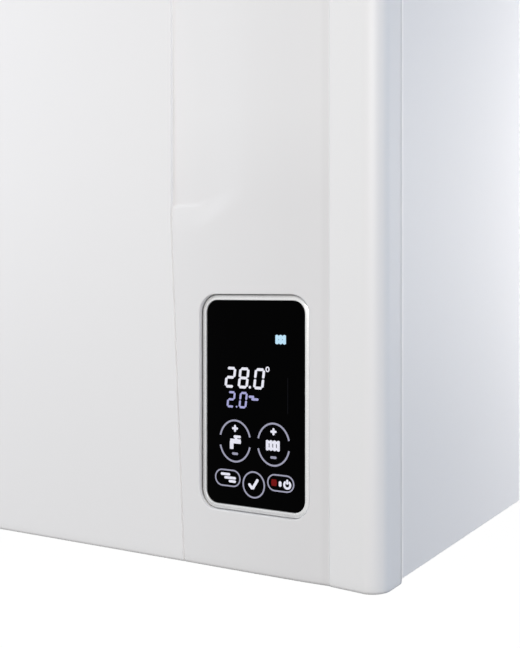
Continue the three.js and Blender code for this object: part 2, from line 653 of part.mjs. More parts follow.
function displayBoard() {
  const back = BEZEL_FACE + GLASS_SINK + GLASS_T + FIT + 7 + FIT;
  const half = [POCKET_W / 2 + 4, POCKET_H / 2 - 2];
  const front = Math.max(back, BOX_FRONT + BOX_WALL + FIT);
  const plate = block([DISPLAY_CX - half[0], front, DISPLAY_CZ - half[1]],
    [DISPLAY_CX + half[0], front + BOARD_T, DISPLAY_CZ + half[1]]);
  return join(plate, block([DISPLAY_CX - 14, front + BOARD_T - 0.2, DISPLAY_CZ - 40],
    [DISPLAY_CX + 14, front + BOARD_T + 6, DISPLAY_CZ - 30]));
}

function boxLid() {
  const middle = [0, (BOX_LOW + BOX_HIGH) / 2];
  const size = [BOX_W, BOX_HIGH - BOX_LOW];
  const inner = [size[0] - 2 * (BOX_WALL + FIT), size[1] - 2 * (BOX_WALL + FIT)];
  const rim = cut(
    facing(roundedRect(inner[0], inner[1], 5.7), BOX_BACK - 6, BOX_BACK + 0.5, middle, 2),
    facing(roundedRect(inner[0] - 4, inner[1] - 4, 4), BOX_BACK - 7, BOX_BACK + 0.3, middle, 2),
    ...[-1, 1].map((side) => block([side * BOX_W / 2, BOX_BACK - 7, BOX_LOW], [side * (BOX_W / 2 - 18), BOX_BACK, PIN_Z + 12])),
  );
  return join(facing(roundedRect(size[0], size[1], 8), BOX_BACK + FIT, BOX_BACK + FIT + 2, middle, 2), rim);
}

add('control_box', controlBox(), GREY_PLASTIC);
add('control_box_lid', boxLid(), GREY_PLASTIC);
add('hinge_pin_left', hingePin(-1), STAINLESS);
add('hinge_pin_right', hingePin(1), STAINLESS);
add('display_bezel', displayBezel(), SILVER);
add('touch_glass', touchGlass(), GLASS_BLACK);
add('lcd_module', lcdModule(), BLACK_PLASTIC);
add('display_board', displayBoard(), BOARD_GREEN);
add('main_board', mainBoard(), BOARD_GREEN);

// ---------------------------------------------------------------- heat exchanger and burner
const AT_DRUM = [DRUM_X, 0, DRUM_Z];
const CAVITY_R = DRUM_R - DRUM_WALL;
const GASKET_Y = -DRUM_FRONT - FIT;
const DOOR_Y = GASKET_Y - GASKET_T - FIT;             // rear face of the door
const CHANNEL_Y = DOOR_Y - DOOR_T;
const FLOW_X = DRUM_X - 40;
const RETURN_X = tailX(2);
const FLUE_STUB_X = DRUM_X - 30;
const drumEdge = (x) => Math.sqrt(DRUM_R ** 2 - (x - DRUM_X) ** 2);
const STUB_FOOT = DRUM_Z - DRUM_R - 10;
const COLLAR_TOP = DRUM_Z + DRUM_R + 10;
const CONDENSATE_Y = -DRUM_FRONT + 24;

function exchangerHousing() {
  const cup = lathe([
    [0, -DRUM_BACK], [DRUM_R - 16, -DRUM_BACK], [DRUM_R, -DRUM_BACK - 14], [DRUM_R, -DRUM_FRONT],
    [CAVITY_R, -DRUM_FRONT], [CAVITY_R, -DRUM_BACK - DRUM_WALL - 12], [CAVITY_R - 12, -DRUM_BACK - DRUM_WALL],
    [0, -DRUM_BACK - DRUM_WALL],
  ], 'y', AT_DRUM, 20);
  const middle = -(DRUM_BACK + DRUM_FRONT) / 2;
  const band = ring(DRUM_R - 1, DRUM_R + 2.5, middle - 4, middle + 4, 'y', AT_DRUM, 20);
  const stub = (x, y, r) => rod(r, STUB_FOOT, DRUM_Z - drumEdge(x) + 6, 'z', [x, y, 0], 12);
  const collar = rod(FLUE_R + 4, DRUM_Z + drumEdge(FLUE_STUB_X) - 8, COLLAR_TOP, 'z', [FLUE_STUB_X, -FLUE_Y, 0], 16);
  const arm = block([DRUM_X + DRUM_R - 4, -DRUM_BACK - 60, DRUM_Z - 25], [DRUM_X + DRUM_R + 3, PANEL_Y - SHEET - FIT, DRUM_Z + 25]);
  const foot = block([DRUM_X + DRUM_R - 12, PANEL_Y - SHEET - FIT - 3, DRUM_Z - 25],
    [DRUM_X + DRUM_R + 3, PANEL_Y - SHEET - FIT, DRUM_Z + 25]);
  const hollow = rod(CAVITY_R - 6, -DRUM_FRONT - 5, -DRUM_BACK - DRUM_WALL - 14, 'y', AT_DRUM, 20);
  return cut(
    join(cup, band, stub(FLOW_X, PIPE_Y, MAIN_PIPE_R + 2), stub(RETURN_X, PIPE_Y, MAIN_PIPE_R + 2),
      stub(DRUM_X, CONDENSATE_Y, PIPE_R + 2), collar, arm, foot),
    hollow,
    rod(FLUE_R + SOCKET_FIT, COLLAR_TOP - 12, COLLAR_TOP + 2, 'z', [FLUE_STUB_X, -FLUE_Y, 0], 16),
    rod(FLUE_R - 4, DRUM_Z + 60, COLLAR_TOP, 'z', [FLUE_STUB_X, -FLUE_Y, 0], 16),
  );
}

// One unbroken tube wound against the drum's wall.
function exchangerCoil() {
  const radius = CAVITY_R - 6 - COIL_R - COIL_SEAT;
  const steps = COIL_TURNS * 16;
  const start = -DRUM_BACK - DRUM_WALL - 14 - FIT - COIL_R;
  const stations = [];
  for (let i = 0; i <= steps; i += 1) {
    const turn = (i / steps) * COIL_TURNS;
    const angle = turn * 2 * Math.PI;
    stations.push({
      at: new THREE.Vector3(DRUM_X + radius * Math.cos(angle), start - turn * COIL_PITCH, DRUM_Z + radius * Math.sin(angle)),
      along: new THREE.Vector3(-radius * Math.sin(angle), -COIL_PITCH / (2 * Math.PI), radius * Math.cos(angle)).normalize(),
    });
  }
  console.log('least gap between the coil\'s turns, mm:', leastGap(stations.map((s) => s.at), 16, COIL_R).toFixed(2));
  return solid(sweep(circle(COIL_R, 6), stations));
}

// Least distance between points of the route that are more than half a turn apart, less the tube.
function leastGap(points, perTurn, radius) {
  let least = Infinity;
  points.forEach((p, i) => {
    for (let j = i + Math.floor(perTurn / 2); j < points.length; j += 1) least = Math.min(least, p.distanceTo(points[j]));
  });
  return least - 2 * radius;
}

const CHANNEL_X0 = -38;
const CHANNEL_H = OUTLET_H;
function burnerDoor() {
  const disc = rod(DRUM_R, CHANNEL_Y, DOOR_Y, 'y', AT_DRUM, 20);
  const outer = outline([[CHANNEL_X0, -CHANNEL_H / 2 - 3], [DRUM_X, -CHANNEL_H / 2 - 12], [DRUM_X + 30, -24],
    [DRUM_X + 40, 0], [DRUM_X + 30, 24], [DRUM_X, CHANNEL_H / 2 + 12], [CHANNEL_X0, CHANNEL_H / 2 + 3]]);
  const inner = outline([[CHANNEL_X0 - 2, -CHANNEL_H / 2], [DRUM_X, -CHANNEL_H / 2 - 9], [DRUM_X + 27, -21],
    [DRUM_X + 37, 0], [DRUM_X + 27, 21], [DRUM_X, CHANNEL_H / 2 + 9], [CHANNEL_X0 - 2, CHANNEL_H / 2]]);
  const nuts = [0, 1, 2, 3, 4, 5].map((k) => {
    const angle = (k + 0.5) * Math.PI / 3;
    const at = [DRUM_X + (DRUM_R - 9) * Math.cos(angle), 0, DRUM_Z + (DRUM_R - 9) * Math.sin(angle)];
    return rod(6, CHANNEL_Y - 6, CHANNEL_Y + 0.5, 'y', at, 6);
  });
  return cut(
    join(disc, facing(outer, CHANNEL_Y - CHANNEL_T, CHANNEL_Y + 0.5, [0, DRUM_Z]), ...nuts),
    facing(inner, CHANNEL_Y - CHANNEL_T + 3, CHANNEL_Y - 0.5, [0, DRUM_Z]),
    rod(BURNER_R - 4, CHANNEL_Y - 4, DOOR_Y + 1, 'y', AT_DRUM, 16),
    rod(4, CHANNEL_Y - 1, DOOR_Y + 1, 'y', [DRUM_X + 60, 0, DRUM_Z - 40], 10),
  );
}

function burnerTube() {
  const back = DOOR_Y + FIT + BURNER_L;
  return lathe([
    [BURNER_R - 2, DOOR_Y + FIT], [BURNER_R + 3, DOOR_Y + FIT], [BURNER_R + 3, DOOR_Y + FIT + 1.5],
    [BURNER_R, DOOR_Y + FIT + 1.5], [BURNER_R, back - 4], [BURNER_R - 6, back], [0, back], [0, back - 2],
    [BURNER_R - 7, back - 2], [BURNER_R - 2, back - 5], [BURNER_R - 2, DOOR_Y + FIT],
  ], 'y', AT_DRUM, 20);
}

function sparkElectrode() {
  const at = [DRUM_X + 60, 0, DRUM_Z - 40];
  return join(
    rod(6, CHANNEL_Y - 12, CHANNEL_Y - FIT, 'y', at, 10),
    rod(3.6, CHANNEL_Y - 12, DOOR_Y + 14, 'y', at, 10),
    rod(1.2, CHANNEL_Y - 20, DOOR_Y + 34, 'y', at, 6),
  );
}

add('exchanger_housing', exchangerHousing(), STAINLESS);
add('exchanger_coil', exchangerCoil(), STAINLESS);
add('door_gasket', ring(CAVITY_R - 6, DRUM_R, GASKET_Y - GASKET_T, GASKET_Y, 'y', AT_DRUM, 20), SILICONE);
add('burner_door', burnerDoor(), ALUMINIUM);
add('burner_tube', burnerTube(), STAINLESS);
add('spark_electrode', sparkElectrode(), PALE_PLASTIC);

// ---------------------------------------------------------------- fan
const OUTLET_LOW = VOLUTE_R1;                          // outlet's floor under the fan's axis
const FAN_Z = DRUM_Z + OUTLET_LOW - FAN_WALL - (OUTLET_H - 2 * FAN_WALL) / 2;
const FAN_FRONT = CHANNEL_Y - CHANNEL_T;
const FAN_BACK = CHANNEL_Y - FIT;
const AT_FAN = [FAN_X, 0, FAN_Z];
const FAN_OUT_X = CHANNEL_X0 - FIT - FAN_X;            // outlet's end from the fan's axis

// Spiral from the tongue round to the outlet's floor, its radius growing steadily.
function voluteOutline(inset) {
  const height = OUTLET_LOW - OUTLET_H;
  const start = inset === 0 ? -VOLUTE_TONGUE : -THREE.MathUtils.radToDeg(Math.asin((height + inset) / (VOLUTE_R0 - inset)));
  const end = FAN_OUT_X + (inset === 0 ? 0 : 2);
  const points = [[end, -height - inset]];
  const steps = 20;
  for (let i = 0; i <= steps; i += 1) {
    const angle = THREE.MathUtils.degToRad(start + (270 - start) * (i / steps));
    const radius = VOLUTE_R0 + (VOLUTE_R1 - VOLUTE_R0) * (i / steps) - inset;
    points.push([radius * Math.cos(angle), radius * Math.sin(angle)]);
  }
  points.push([end, -OUTLET_LOW + inset]);
  return outline(points);
}

function fanHousing() {
  const flange = facing(outline([
    [FAN_OUT_X - 5, -OUTLET_LOW - 5], [FAN_OUT_X, -OUTLET_LOW - 5],
    [FAN_OUT_X, -OUTLET_LOW + OUTLET_H + 5], [FAN_OUT_X - 5, -OUTLET_LOW + OUTLET_H + 5],
  ]), FAN_FRONT, FAN_BACK, [FAN_X, FAN_Z]);
  return cut(
    join(facing(voluteOutline(0), FAN_FRONT, FAN_BACK, [FAN_X, FAN_Z]), flange),
    facing(voluteOutline(FAN_WALL), FAN_FRONT + FAN_WALL, FAN_BACK - FAN_WALL, [FAN_X, FAN_Z]),
    rod(INLET_R, FAN_BACK - FAN_WALL - 1, FAN_BACK + 1, 'y', AT_FAN, 18),
    rod(SHAFT_R + RUN, FAN_FRONT - 1, FAN_FRONT + FAN_WALL + 1, 'y', AT_FAN, 12),
  );
}

// Backward-curved blade: an arc from the hub to the rim, as thick as given.
function bladeOutline(r0, r1, sweepAngle, thick, turn) {
  const edge = (offset) => [0, 1, 2, 3].map((i) => {
    const t = i / 3;
    const radius = r0 + (r1 - r0) * t;
    const angle = turn - sweepAngle * t * (0.7 + 0.3 * t) + offset / (2 * radius);
    return [radius * Math.cos(angle), radius * Math.sin(angle)];
  });
  return outline([...edge(thick), ...edge(-thick).reverse()]);
}

const WHEEL_FRONT = FAN_FRONT + FAN_WALL + RUN;
function fanImpeller() {
  const back = WHEEL_FRONT + IMPELLER_W;
  const blades = Array.from({ length: FAN_BLADES }, (_, k) => facing(
    bladeOutline(INLET_R - 6, IMPELLER_R - 0.5, 0.9, 1.6, k * 2 * Math.PI / FAN_BLADES),
    WHEEL_FRONT + 1, back - 1, [FAN_X, FAN_Z],
  ));
  return join(
    rod(IMPELLER_R, WHEEL_FRONT, WHEEL_FRONT + 2, 'y', AT_FAN, 18),
    ring(INLET_R - 3, IMPELLER_R, back - 1.5, back, 'y', AT_FAN, 18),
    lathe([[0, WHEEL_FRONT], [10, WHEEL_FRONT], [8, WHEEL_FRONT + 10], [0, WHEEL_FRONT + 12]], 'y', AT_FAN, 14),
    rod(SHAFT_R, FAN_FRONT - MOTOR_L + 6, WHEEL_FRONT + 1, 'y', AT_FAN, 12),
    ...blades,
  );
}

function fanMotor() {
  const [face, end] = [FAN_FRONT - FIT, FAN_FRONT - MOTOR_L];
  const can = lathe([
    [0, face], [MOTOR_R + 6, face], [MOTOR_R + 6, face - 3], [MOTOR_R, face - 4], [MOTOR_R, end + 5],
    [MOTOR_R - 5, end], [0, end],
  ], 'y', AT_FAN, 18);
  const fins = Array.from({ length: 6 }, (_, k) => {
    const angle = k * Math.PI / 3;
    const at = [FAN_X + (MOTOR_R - 10) * Math.cos(angle), 0, FAN_Z + (MOTOR_R - 10) * Math.sin(angle)];
    return rod(3, end - 1, end + 3, 'y', at, 6);
  });
  return cut(can, ...fins, rod(SHAFT_R + RUN / 2, end + 5, face + 1, 'y', AT_FAN, 12));
}

const VENTURI_L = 42;
const GAS_PORT_Y = FAN_BACK + 22;
const VENTURI_BACK = FAN_BACK + FIT + VENTURI_L;
const VENTURI_FOOT = FAN_Z - 36;
function venturi() {
  const [front, back] = [FAN_BACK + FIT, VENTURI_BACK];
  const body = lathe([
    [INLET_R - 2, front], [INLET_R + 6, front], [INLET_R + 6, front + 4], [INLET_R + 1, front + 6],
    [22, front + 22], [26, back], [23, back], [15, front + 22], [INLET_R - 2, front + 4], [INLET_R - 2, front],
  ], 'y', AT_FAN, 18);
  const port = rod(PIPE_R + 2, VENTURI_FOOT, FAN_Z - 17, 'z', [FAN_X, GAS_PORT_Y, 0], 12);
  return join(body, port);
}

const INTAKE_R = 22;
const INTAKE_TOP = FAN_Z + 130;
const INTAKE_Y = VENTURI_BACK + 30;
function airIntake() {
  const route = [[FAN_X, VENTURI_BACK + FIT, FAN_Z], [FAN_X, INTAKE_Y, FAN_Z], [FAN_X, INTAKE_Y, INTAKE_TOP]];
  const shape = { bend: 28, sides: 10, stepLength: 18 };
  const mouth = ring(INTAKE_R - 4, INTAKE_R + 5, INTAKE_TOP - 8, INTAKE_TOP, 'z', [FAN_X, INTAKE_Y, 0], 14);
  return cut(
    join(pipe(route, INTAKE_R, shape), mouth),
    rod(INTAKE_R - 3, INTAKE_TOP - 50, INTAKE_TOP + 1, 'z', [FAN_X, INTAKE_Y, 0], 10),
    rod(INTAKE_R - 3, VENTURI_BACK - 1, VENTURI_BACK + 14, 'y', AT_FAN, 10),
  );
}

add('fan_housing', fanHousing(), ALUMINIUM);
add('fan_impeller', fanImpeller(), BLACK_PLASTIC);
add('fan_motor', fanMotor(), BLACK_PLASTIC);
add('venturi', venturi(), ALUMINIUM);
add('air_intake_pipe', airIntake(), GREY_PLASTIC);

// ---------------------------------------------------------------- flue
const ADAPTER_Z = SIDE_HIGH - FIT;                     // underside of the adapter's flange
const ADAPTER_TOP = HEIGHT + ADAPTER_H;
const DUCT_TOP = ADAPTER_Z - 14;
const AT_FLUE = [0, -FLUE_Y, 0];

function flueDuct() {
  const foot = COLLAR_TOP - 12 + FIT;
  const rise = DUCT_TOP - COLLAR_TOP;
  return pipe([
    [FLUE_STUB_X, -FLUE_Y, foot], [FLUE_STUB_X, -FLUE_Y, foot + rise * 0.3],
    [0, -FLUE_Y, foot + rise * 0.72], [0, -FLUE_Y, DUCT_TOP],
  ], FLUE_R, { bend: 30, sides: 12, stepLength: 18 });
}

// Concentric adapter: the outer collar takes the air pipe and the inner socket the flue pipe.
function flueAdapter() {
  const bore = FLUE_R + SOCKET_FIT;
  const outer = lathe([
    [AIR_R, ADAPTER_Z], [AIR_R + 16, ADAPTER_Z], [AIR_R + 16, ADAPTER_Z + 4], [AIR_R + 5, ADAPTER_Z + 6],
    [AIR_R + 5, ADAPTER_TOP - 8], [AIR_R + 7, ADAPTER_TOP - 6], [AIR_R + 7, ADAPTER_TOP], [AIR_R + TUBE_T, ADAPTER_TOP],
    [AIR_R + TUBE_T, ADAPTER_TOP - 26], [AIR_R, ADAPTER_TOP - 28], [AIR_R, ADAPTER_Z],
  ], 'z', AT_FLUE, 16);
  const inner = lathe([
    [bore, DUCT_TOP - 12], [FLUE_R + 4, DUCT_TOP - 12], [FLUE_R + 4, ADAPTER_TOP - 4], [bore, ADAPTER_TOP - 4],
    [bore, DUCT_TOP + 16], [FLUE_R - 3, DUCT_TOP + 14], [FLUE_R - 3, DUCT_TOP + FIT], [bore, DUCT_TOP + FIT],
    [bore, DUCT_TOP - 12],
  ], 'z', AT_FLUE, 16);
  const webs = [0, 1, 2].map((k) => {
    const angle = k * 2 * Math.PI / 3;
    const [dx, dy] = [Math.cos(angle), Math.sin(angle)];
    const [r0, r1, half] = [FLUE_R + 2, AIR_R + 1, 1.2];
    const corner = (r, s) => [r * dx - s * half * dy, r * dy + s * half * dx];
    return upright(outline([corner(r0, -1), corner(r1, -1), corner(r1, 1), corner(r0, 1)]), ADAPTER_Z + 1, ADAPTER_Z + 10, [0, -FLUE_Y]);
  });
  return join(outer, inner, ...webs);
}

add('flue_duct', flueDuct(), PALE_PLASTIC);
add('flue_adapter', flueAdapter(), ALUMINIUM);
add('flue_seal', ring(FLUE_R - 1.5, FLUE_R, DUCT_TOP + 16 + FIT, DUCT_TOP + 22, 'z', AT_FLUE, 16), RUBBER);

// ---------------------------------------------------------------- expansion vessel
const VESSEL_BACK = PANEL_Y - SHEET - FIT;
const VESSEL_FOOT = VESSEL_Z - VESSEL_R - 14;
const VESSEL_MID = VESSEL_BACK - VESSEL_T / 2;

function expansionVessel() {
  const [r, t] = [VESSEL_R, VESSEL_T / 2];
  const at = [0, VESSEL_MID, VESSEL_Z];
  const shell = lathe([
    [0, -t], [r * 0.5, -t], [r * 0.82, -t * 0.75], [r * 0.96, -3], [r, -2], [r, 2],
    [r * 0.96, 3], [r * 0.82, t * 0.75], [r * 0.5, t], [0, t],
  ], 'y', at, 24);
  return join(shell, rod(9, VESSEL_FOOT, VESSEL_Z - VESSEL_R + 12, 'z', [0, VESSEL_MID, 0], 12));
}

const HOSE_R = 6;
const HOSE_X = HALF - 25;
const GROUP_LOW = 22;                                  // hydraulic groups stand on their tails
const LINK_Z = GROUP_LOW + 20;
const GROUP_HALF = 30;
function expansionHose() {
  const level = VESSEL_FOOT - 44;
  return pipe([
    [0, VESSEL_MID, VESSEL_FOOT - FIT], [0, VESSEL_MID, level], [HOSE_X, VESSEL_MID, level],
    [HOSE_X, VESSEL_MID, LINK_Z], [HOSE_X, PIPE_Y, LINK_Z], [RETURN_X + GROUP_HALF + FIT, PIPE_Y, LINK_Z],
  ], HOSE_R, { bend: 24 });
}

add('expansion_vessel', expansionVessel(), RED_PAINT);
add('expansion_hose', expansionHose(), RUBBER);

// ---------------------------------------------------------------- pump and return group
const PUMP_FRONT = PIPE_Y - PUMP_D / 2;
const PUMP_BACK = PIPE_Y + PUMP_D / 2;
const AT_PUMP = [RETURN_X, 0, PUMP_Z];
const PUMP_TOP = PUMP_Z + PUMP_R + 14;
const PLATE_BACK = -40;
const PLATE_D = 48;
const PLATE_FRONT = PLATE_BACK - PLATE_D;
const PLATE_LOW = 70;
const PLATE_H = 80;
const PLATE_HALF = 84;
const RETURN_LINK_X = 60;
const VENT_X = RETURN_X + 38;
const VENT_Z = PUMP_Z + 34;
const VALVE_X = RETURN_X - 12;

function pumpBody() {
  const volute = rod(PUMP_R, PUMP_FRONT, PUMP_BACK, 'y', AT_PUMP, 16);
  const group = block([RETURN_X - GROUP_HALF, PUMP_FRONT, GROUP_LOW], [RETURN_X + GROUP_HALF, PUMP_BACK, PUMP_Z - PUMP_R + 8]);
  const outlet = rod(MAIN_PIPE_R + 4, PUMP_Z + PUMP_R - 6, PUMP_TOP, 'z', [RETURN_X, PIPE_Y, 0], 14);
  const ventBoss = block([RETURN_X + 20, PIPE_Y - 8, VENT_Z - 8], [VENT_X + 10, PIPE_Y + 8, VENT_Z + 6]);
  // Moulded arm from the plate exchanger's return port to the foot of the group.
  const arm = pipe([
    [RETURN_LINK_X, PLATE_BACK - PLATE_D / 2, PLATE_LOW - FIT], [RETURN_LINK_X, PLATE_BACK - PLATE_D / 2, LINK_Z],
    [RETURN_X, PLATE_BACK - PLATE_D / 2, LINK_Z], [RETURN_X, PIPE_Y + 18, LINK_Z],
  ], PIPE_R, { bend: 16 });
  return cut(
    join(volute, group, outlet, ventBoss, arm),
    rod(PUMP_R - PUMP_WALL, PUMP_FRONT - 1, PUMP_BACK - PUMP_WALL, 'y', AT_PUMP, 16),
  );
}

function pumpMotor() {
  const [face, end] = [PUMP_FRONT - FIT, PUMP_FRONT - PUMP_MOTOR_L];
  const can = lathe([
    [0, face + PUMP_WALL], [PUMP_R - PUMP_WALL - FIT, face + PUMP_WALL], [PUMP_R - PUMP_WALL - FIT, face],
    [PUMP_MOTOR_R, face], [PUMP_MOTOR_R, face - 8], [PUMP_MOTOR_R - 4, face - 10], [PUMP_MOTOR_R - 4, end + 6],
    [PUMP_MOTOR_R - 10, end], [0, end],
  ], 'y', AT_PUMP, 16);
  const terminal = block([RETURN_X - 20, end + 12, PUMP_Z + PUMP_MOTOR_R - 8], [RETURN_X + 20, face - 12, PUMP_Z + PUMP_MOTOR_R + 12]);
  return cut(join(can, terminal), rod(SHAFT_R + RUN / 2, end + 30, face + PUMP_WALL + 1, 'y', AT_PUMP, 12));
}

function pumpImpeller() {
  const front = PUMP_FRONT + PUMP_WALL + RUN;
  const back = PUMP_BACK - PUMP_WALL - RUN;
  const blades = Array.from({ length: PUMP_BLADES }, (_, k) => facing(
    bladeOutline(8, PUMP_IMPELLER_R - 0.5, 1.3, 2.4, k * 2 * Math.PI / PUMP_BLADES),
    front + 1, back, [RETURN_X, PUMP_Z],
  ));
  return join(
    rod(PUMP_IMPELLER_R, front, front + 2.5, 'y', AT_PUMP, 16),
    rod(9, front, back - 4, 'y', AT_PUMP, 14),
    rod(SHAFT_R, PUMP_FRONT - PUMP_MOTOR_L + 32, front + 1, 'y', AT_PUMP, 12),
    ...blades,
  );
}

// Automatic air vent: float chamber on the pump's boss, with a screw cap.
const VENT_FOOT = VENT_Z + 6 + FIT;
const VENT_TOP = VENT_FOOT + 44;
const AT_VENT = [VENT_X, PIPE_Y, 0];
const airVent = () => cut(
  lathe([
    [0, VENT_FOOT], [8, VENT_FOOT], [8, VENT_FOOT + 5], [13, VENT_FOOT + 8], [13, VENT_TOP - 8],
    [7, VENT_TOP - 5], [7, VENT_TOP], [0, VENT_TOP],
  ], 'z', AT_VENT, 12),
  rod(3 + FIT, VENT_TOP - 7, VENT_TOP + 1, 'z', AT_VENT, 12),
);
const ventCap = () => join(
  rod(7, VENT_TOP + FIT, VENT_TOP + 7, 'z', AT_VENT, 12),
  rod(3, VENT_TOP - 6, VENT_TOP + 1, 'z', AT_VENT, 12),
);

const AT_RELIEF = [VALVE_X, 0, LINK_Z];
const RELIEF_FACE = PUMP_FRONT - FIT;
const safetyValve = () => cut(
  join(
    lathe([
      [0, RELIEF_FACE], [9, RELIEF_FACE], [9, RELIEF_FACE - 6], [13, RELIEF_FACE - 8], [13, RELIEF_FACE - 24],
      [9, RELIEF_FACE - 32], [0, RELIEF_FACE - 32],
    ], 'y', AT_RELIEF, 12),
    rod(6, LINK_Z - 26, LINK_Z - 8, 'z', [VALVE_X, RELIEF_FACE - 16, 0], 10),
  ),
  rod(3 + FIT, RELIEF_FACE - 33, RELIEF_FACE - 20, 'y', AT_RELIEF, 12),
);
const safetyKnob = () => join(
  lathe([
    [0, RELIEF_FACE - 32 - FIT], [12, RELIEF_FACE - 32 - FIT], [14, RELIEF_FACE - 36], [14, RELIEF_FACE - 44],
    [12, RELIEF_FACE - 46], [0, RELIEF_FACE - 46],
  ], 'y', AT_RELIEF, 8),
  rod(3, RELIEF_FACE - 33, RELIEF_FACE - 22, 'y', AT_RELIEF, 12),
);

add('pump_body', pumpBody(), GREY_PLASTIC);
add('pump_motor', pumpMotor(), BLACK_PLASTIC);
add('pump_impeller', pumpImpeller(), PALE_PLASTIC);
add('air_vent', airVent(), BRASS);
add('air_vent_cap', ventCap(), BLACK_PLASTIC);
add('safety_valve', safetyValve(), BRASS);
add('safety_valve_knob', safetyKnob(), RED_PLASTIC);

// ---------------------------------------------------------------- diverter valve and flow group
const FLOW_TAIL_X = tailX(-2);
const DIVERTER_R = 18;
const DIVERTER_LOW = GROUP_LOW + 22;
const DIVERTER_TOP = PUMP_TOP - 14;
const SPINDLE_Z = (DIVERTER_LOW + DIVERTER_TOP) / 2;
const SPINDLE_R = 3;
const SPINDLE_TRAVEL = 4;
const BOSS_FACE = PIPE_Y - DIVERTER_R - 22;
const ACTUATOR_FACE = BOSS_FACE - 12;
const AT_SPINDLE = [FLOW_TAIL_X, 0, SPINDLE_Z];
const FLOW_LINK_Z = PLATE_LOW + PLATE_H - 20;

function diverterBody() {
  const body = rod(DIVERTER_R, DIVERTER_LOW, DIVERTER_TOP, 'z', [FLOW_TAIL_X, PIPE_Y, 0], 16);
  const boss = rod(13, BOSS_FACE, PIPE_Y, 'y', AT_SPINDLE, 12);
  // Moulded arm to the plate exchanger's flow port.
  const arm = pipe([
    [FLOW_TAIL_X, PIPE_Y, FLOW_LINK_Z], [-RETURN_LINK_X, PIPE_Y, FLOW_LINK_Z], [-RETURN_LINK_X, PLATE_FRONT - FIT, FLOW_LINK_Z],
  ], PIPE_R, { bend: 12 });
  return cut(join(body, boss, arm), rod(SPINDLE_R + FIT, BOSS_FACE - 1, PIPE_Y - 6, 'y', AT_SPINDLE, 10));
}

// Actuator: motor box with a clip collar that reaches back to the valve's boss round the spindle.
function diverterMotor() {
  const box = facing(roundedRect(50, 62, 7), ACTUATOR_FACE - 40, ACTUATOR_FACE, [FLOW_TAIL_X, SPINDLE_Z], 2);
  const collar = ring(9, 13, ACTUATOR_FACE - 1, BOSS_FACE - FIT, 'y', AT_SPINDLE, 12);
  const bore = rod(SPINDLE_R + FIT, ACTUATOR_FACE - 14, ACTUATOR_FACE + 1, 'y', AT_SPINDLE, 10);
  return cut(join(box, collar), bore);
}

// Spindle with its stop ring in the collar; it travels between the boss and the actuator.
const diverterSpindle = () => join(
  rod(SPINDLE_R, ACTUATOR_FACE - 8, BOSS_FACE + 16, 'y', AT_SPINDLE, 10),
  rod(7, BOSS_FACE - 1 - SPINDLE_TRAVEL - 3, BOSS_FACE - 1 - SPINDLE_TRAVEL, 'y', AT_SPINDLE, 10),
);

add('diverter_body', diverterBody(), BRASS);
add('diverter_motor', diverterMotor(), BLACK_PLASTIC);
add('diverter_spindle', diverterSpindle(), STAINLESS);

// ---------------------------------------------------------------- plate heat exchanger
const PLATES = 7;
function plateExchanger() {
  const pitch = PLATE_D / PLATES;
  const at = [0, PLATE_LOW + PLATE_H / 2];
  const plates = Array.from({ length: PLATES }, (_, k) => {
    const grow = k % 2 === 0 ? 0 : -3;
    return facing(roundedRect(2 * PLATE_HALF + grow, PLATE_H + grow, 9), PLATE_FRONT + k * pitch,
      PLATE_FRONT + (k + 1) * pitch + (k < PLATES - 1 ? 0.1 : 0), at, 2);
  });
  return join(...plates);
}

add('plate_heat_exchanger', plateExchanger(), STAINLESS);

// ---------------------------------------------------------------- pipes between the groups
const flowPipe = () => pipe([
  [FLOW_X, PIPE_Y, STUB_FOOT - FIT], [FLOW_X, PIPE_Y, STUB_FOOT - 28],
  [FLOW_TAIL_X, PIPE_Y, STUB_FOOT - 28], [FLOW_TAIL_X, PIPE_Y, DIVERTER_TOP + FIT],
], MAIN_PIPE_R, { bend: 24 });
const returnPipe = () => join(
  rod(MAIN_PIPE_R, PUMP_TOP + FIT, STUB_FOOT - FIT, 'z', [RETURN_X, PIPE_Y, 0], 12),
  rod(MAIN_PIPE_R + 4, PUMP_TOP + FIT, PUMP_TOP + 16, 'z', [RETURN_X, PIPE_Y, 0], 6),
);

// A connection below the casing: open bore, collar that sits on the plate, six-sided nut beneath.
function tail(x, top, { solidFrom = FLOOR_TOP + 8 } = {}) {
  const at = [x, PIPE_Y, 0];
  return cut(
    join(
      rod(TAIL_R, -TAIL_DROP, top, 'z', at, 10),
      rod(COLLAR_R, FLOOR_TOP + FIT, FLOOR_TOP + 4, 'z', at, 10),
      rod(COLLAR_R - 1, FLOOR_Z - 14, FLOOR_Z - FIT, 'z', at, 6),
    ),
    rod(TAIL_BORE, -TAIL_DROP - 1, Math.min(top - 2, solidFrom), 'z', at, 10),
  );
}

const HOT_IN_Z = PLATE_LOW + 20;
const hotWaterPipe = () => join(
  tail(tailX(-1), FLOOR_TOP + 16),
  pipe([[tailX(-1), PIPE_Y, FLOOR_TOP + 10], [tailX(-1), PIPE_Y, HOT_IN_Z], [tailX(-1), PLATE_FRONT - FIT, HOT_IN_Z]],
    PIPE_R, { bend: 14 }),
);

// Cold water: tail, flow sensor with its turbine, filling valve, then the pipe to the exchanger.
const SENSOR_LOW = FLOOR_TOP + 18;
const SENSOR_H = 36;
const SENSOR_R = 14;
const SENSOR_BORE = 9;
const AT_SENSOR = [tailX(1), PIPE_Y, 0];
const COLD_IN_Z = PLATE_LOW + PLATE_H - 16;
const FILL_TOP = SENSOR_LOW + SENSOR_H - 4;

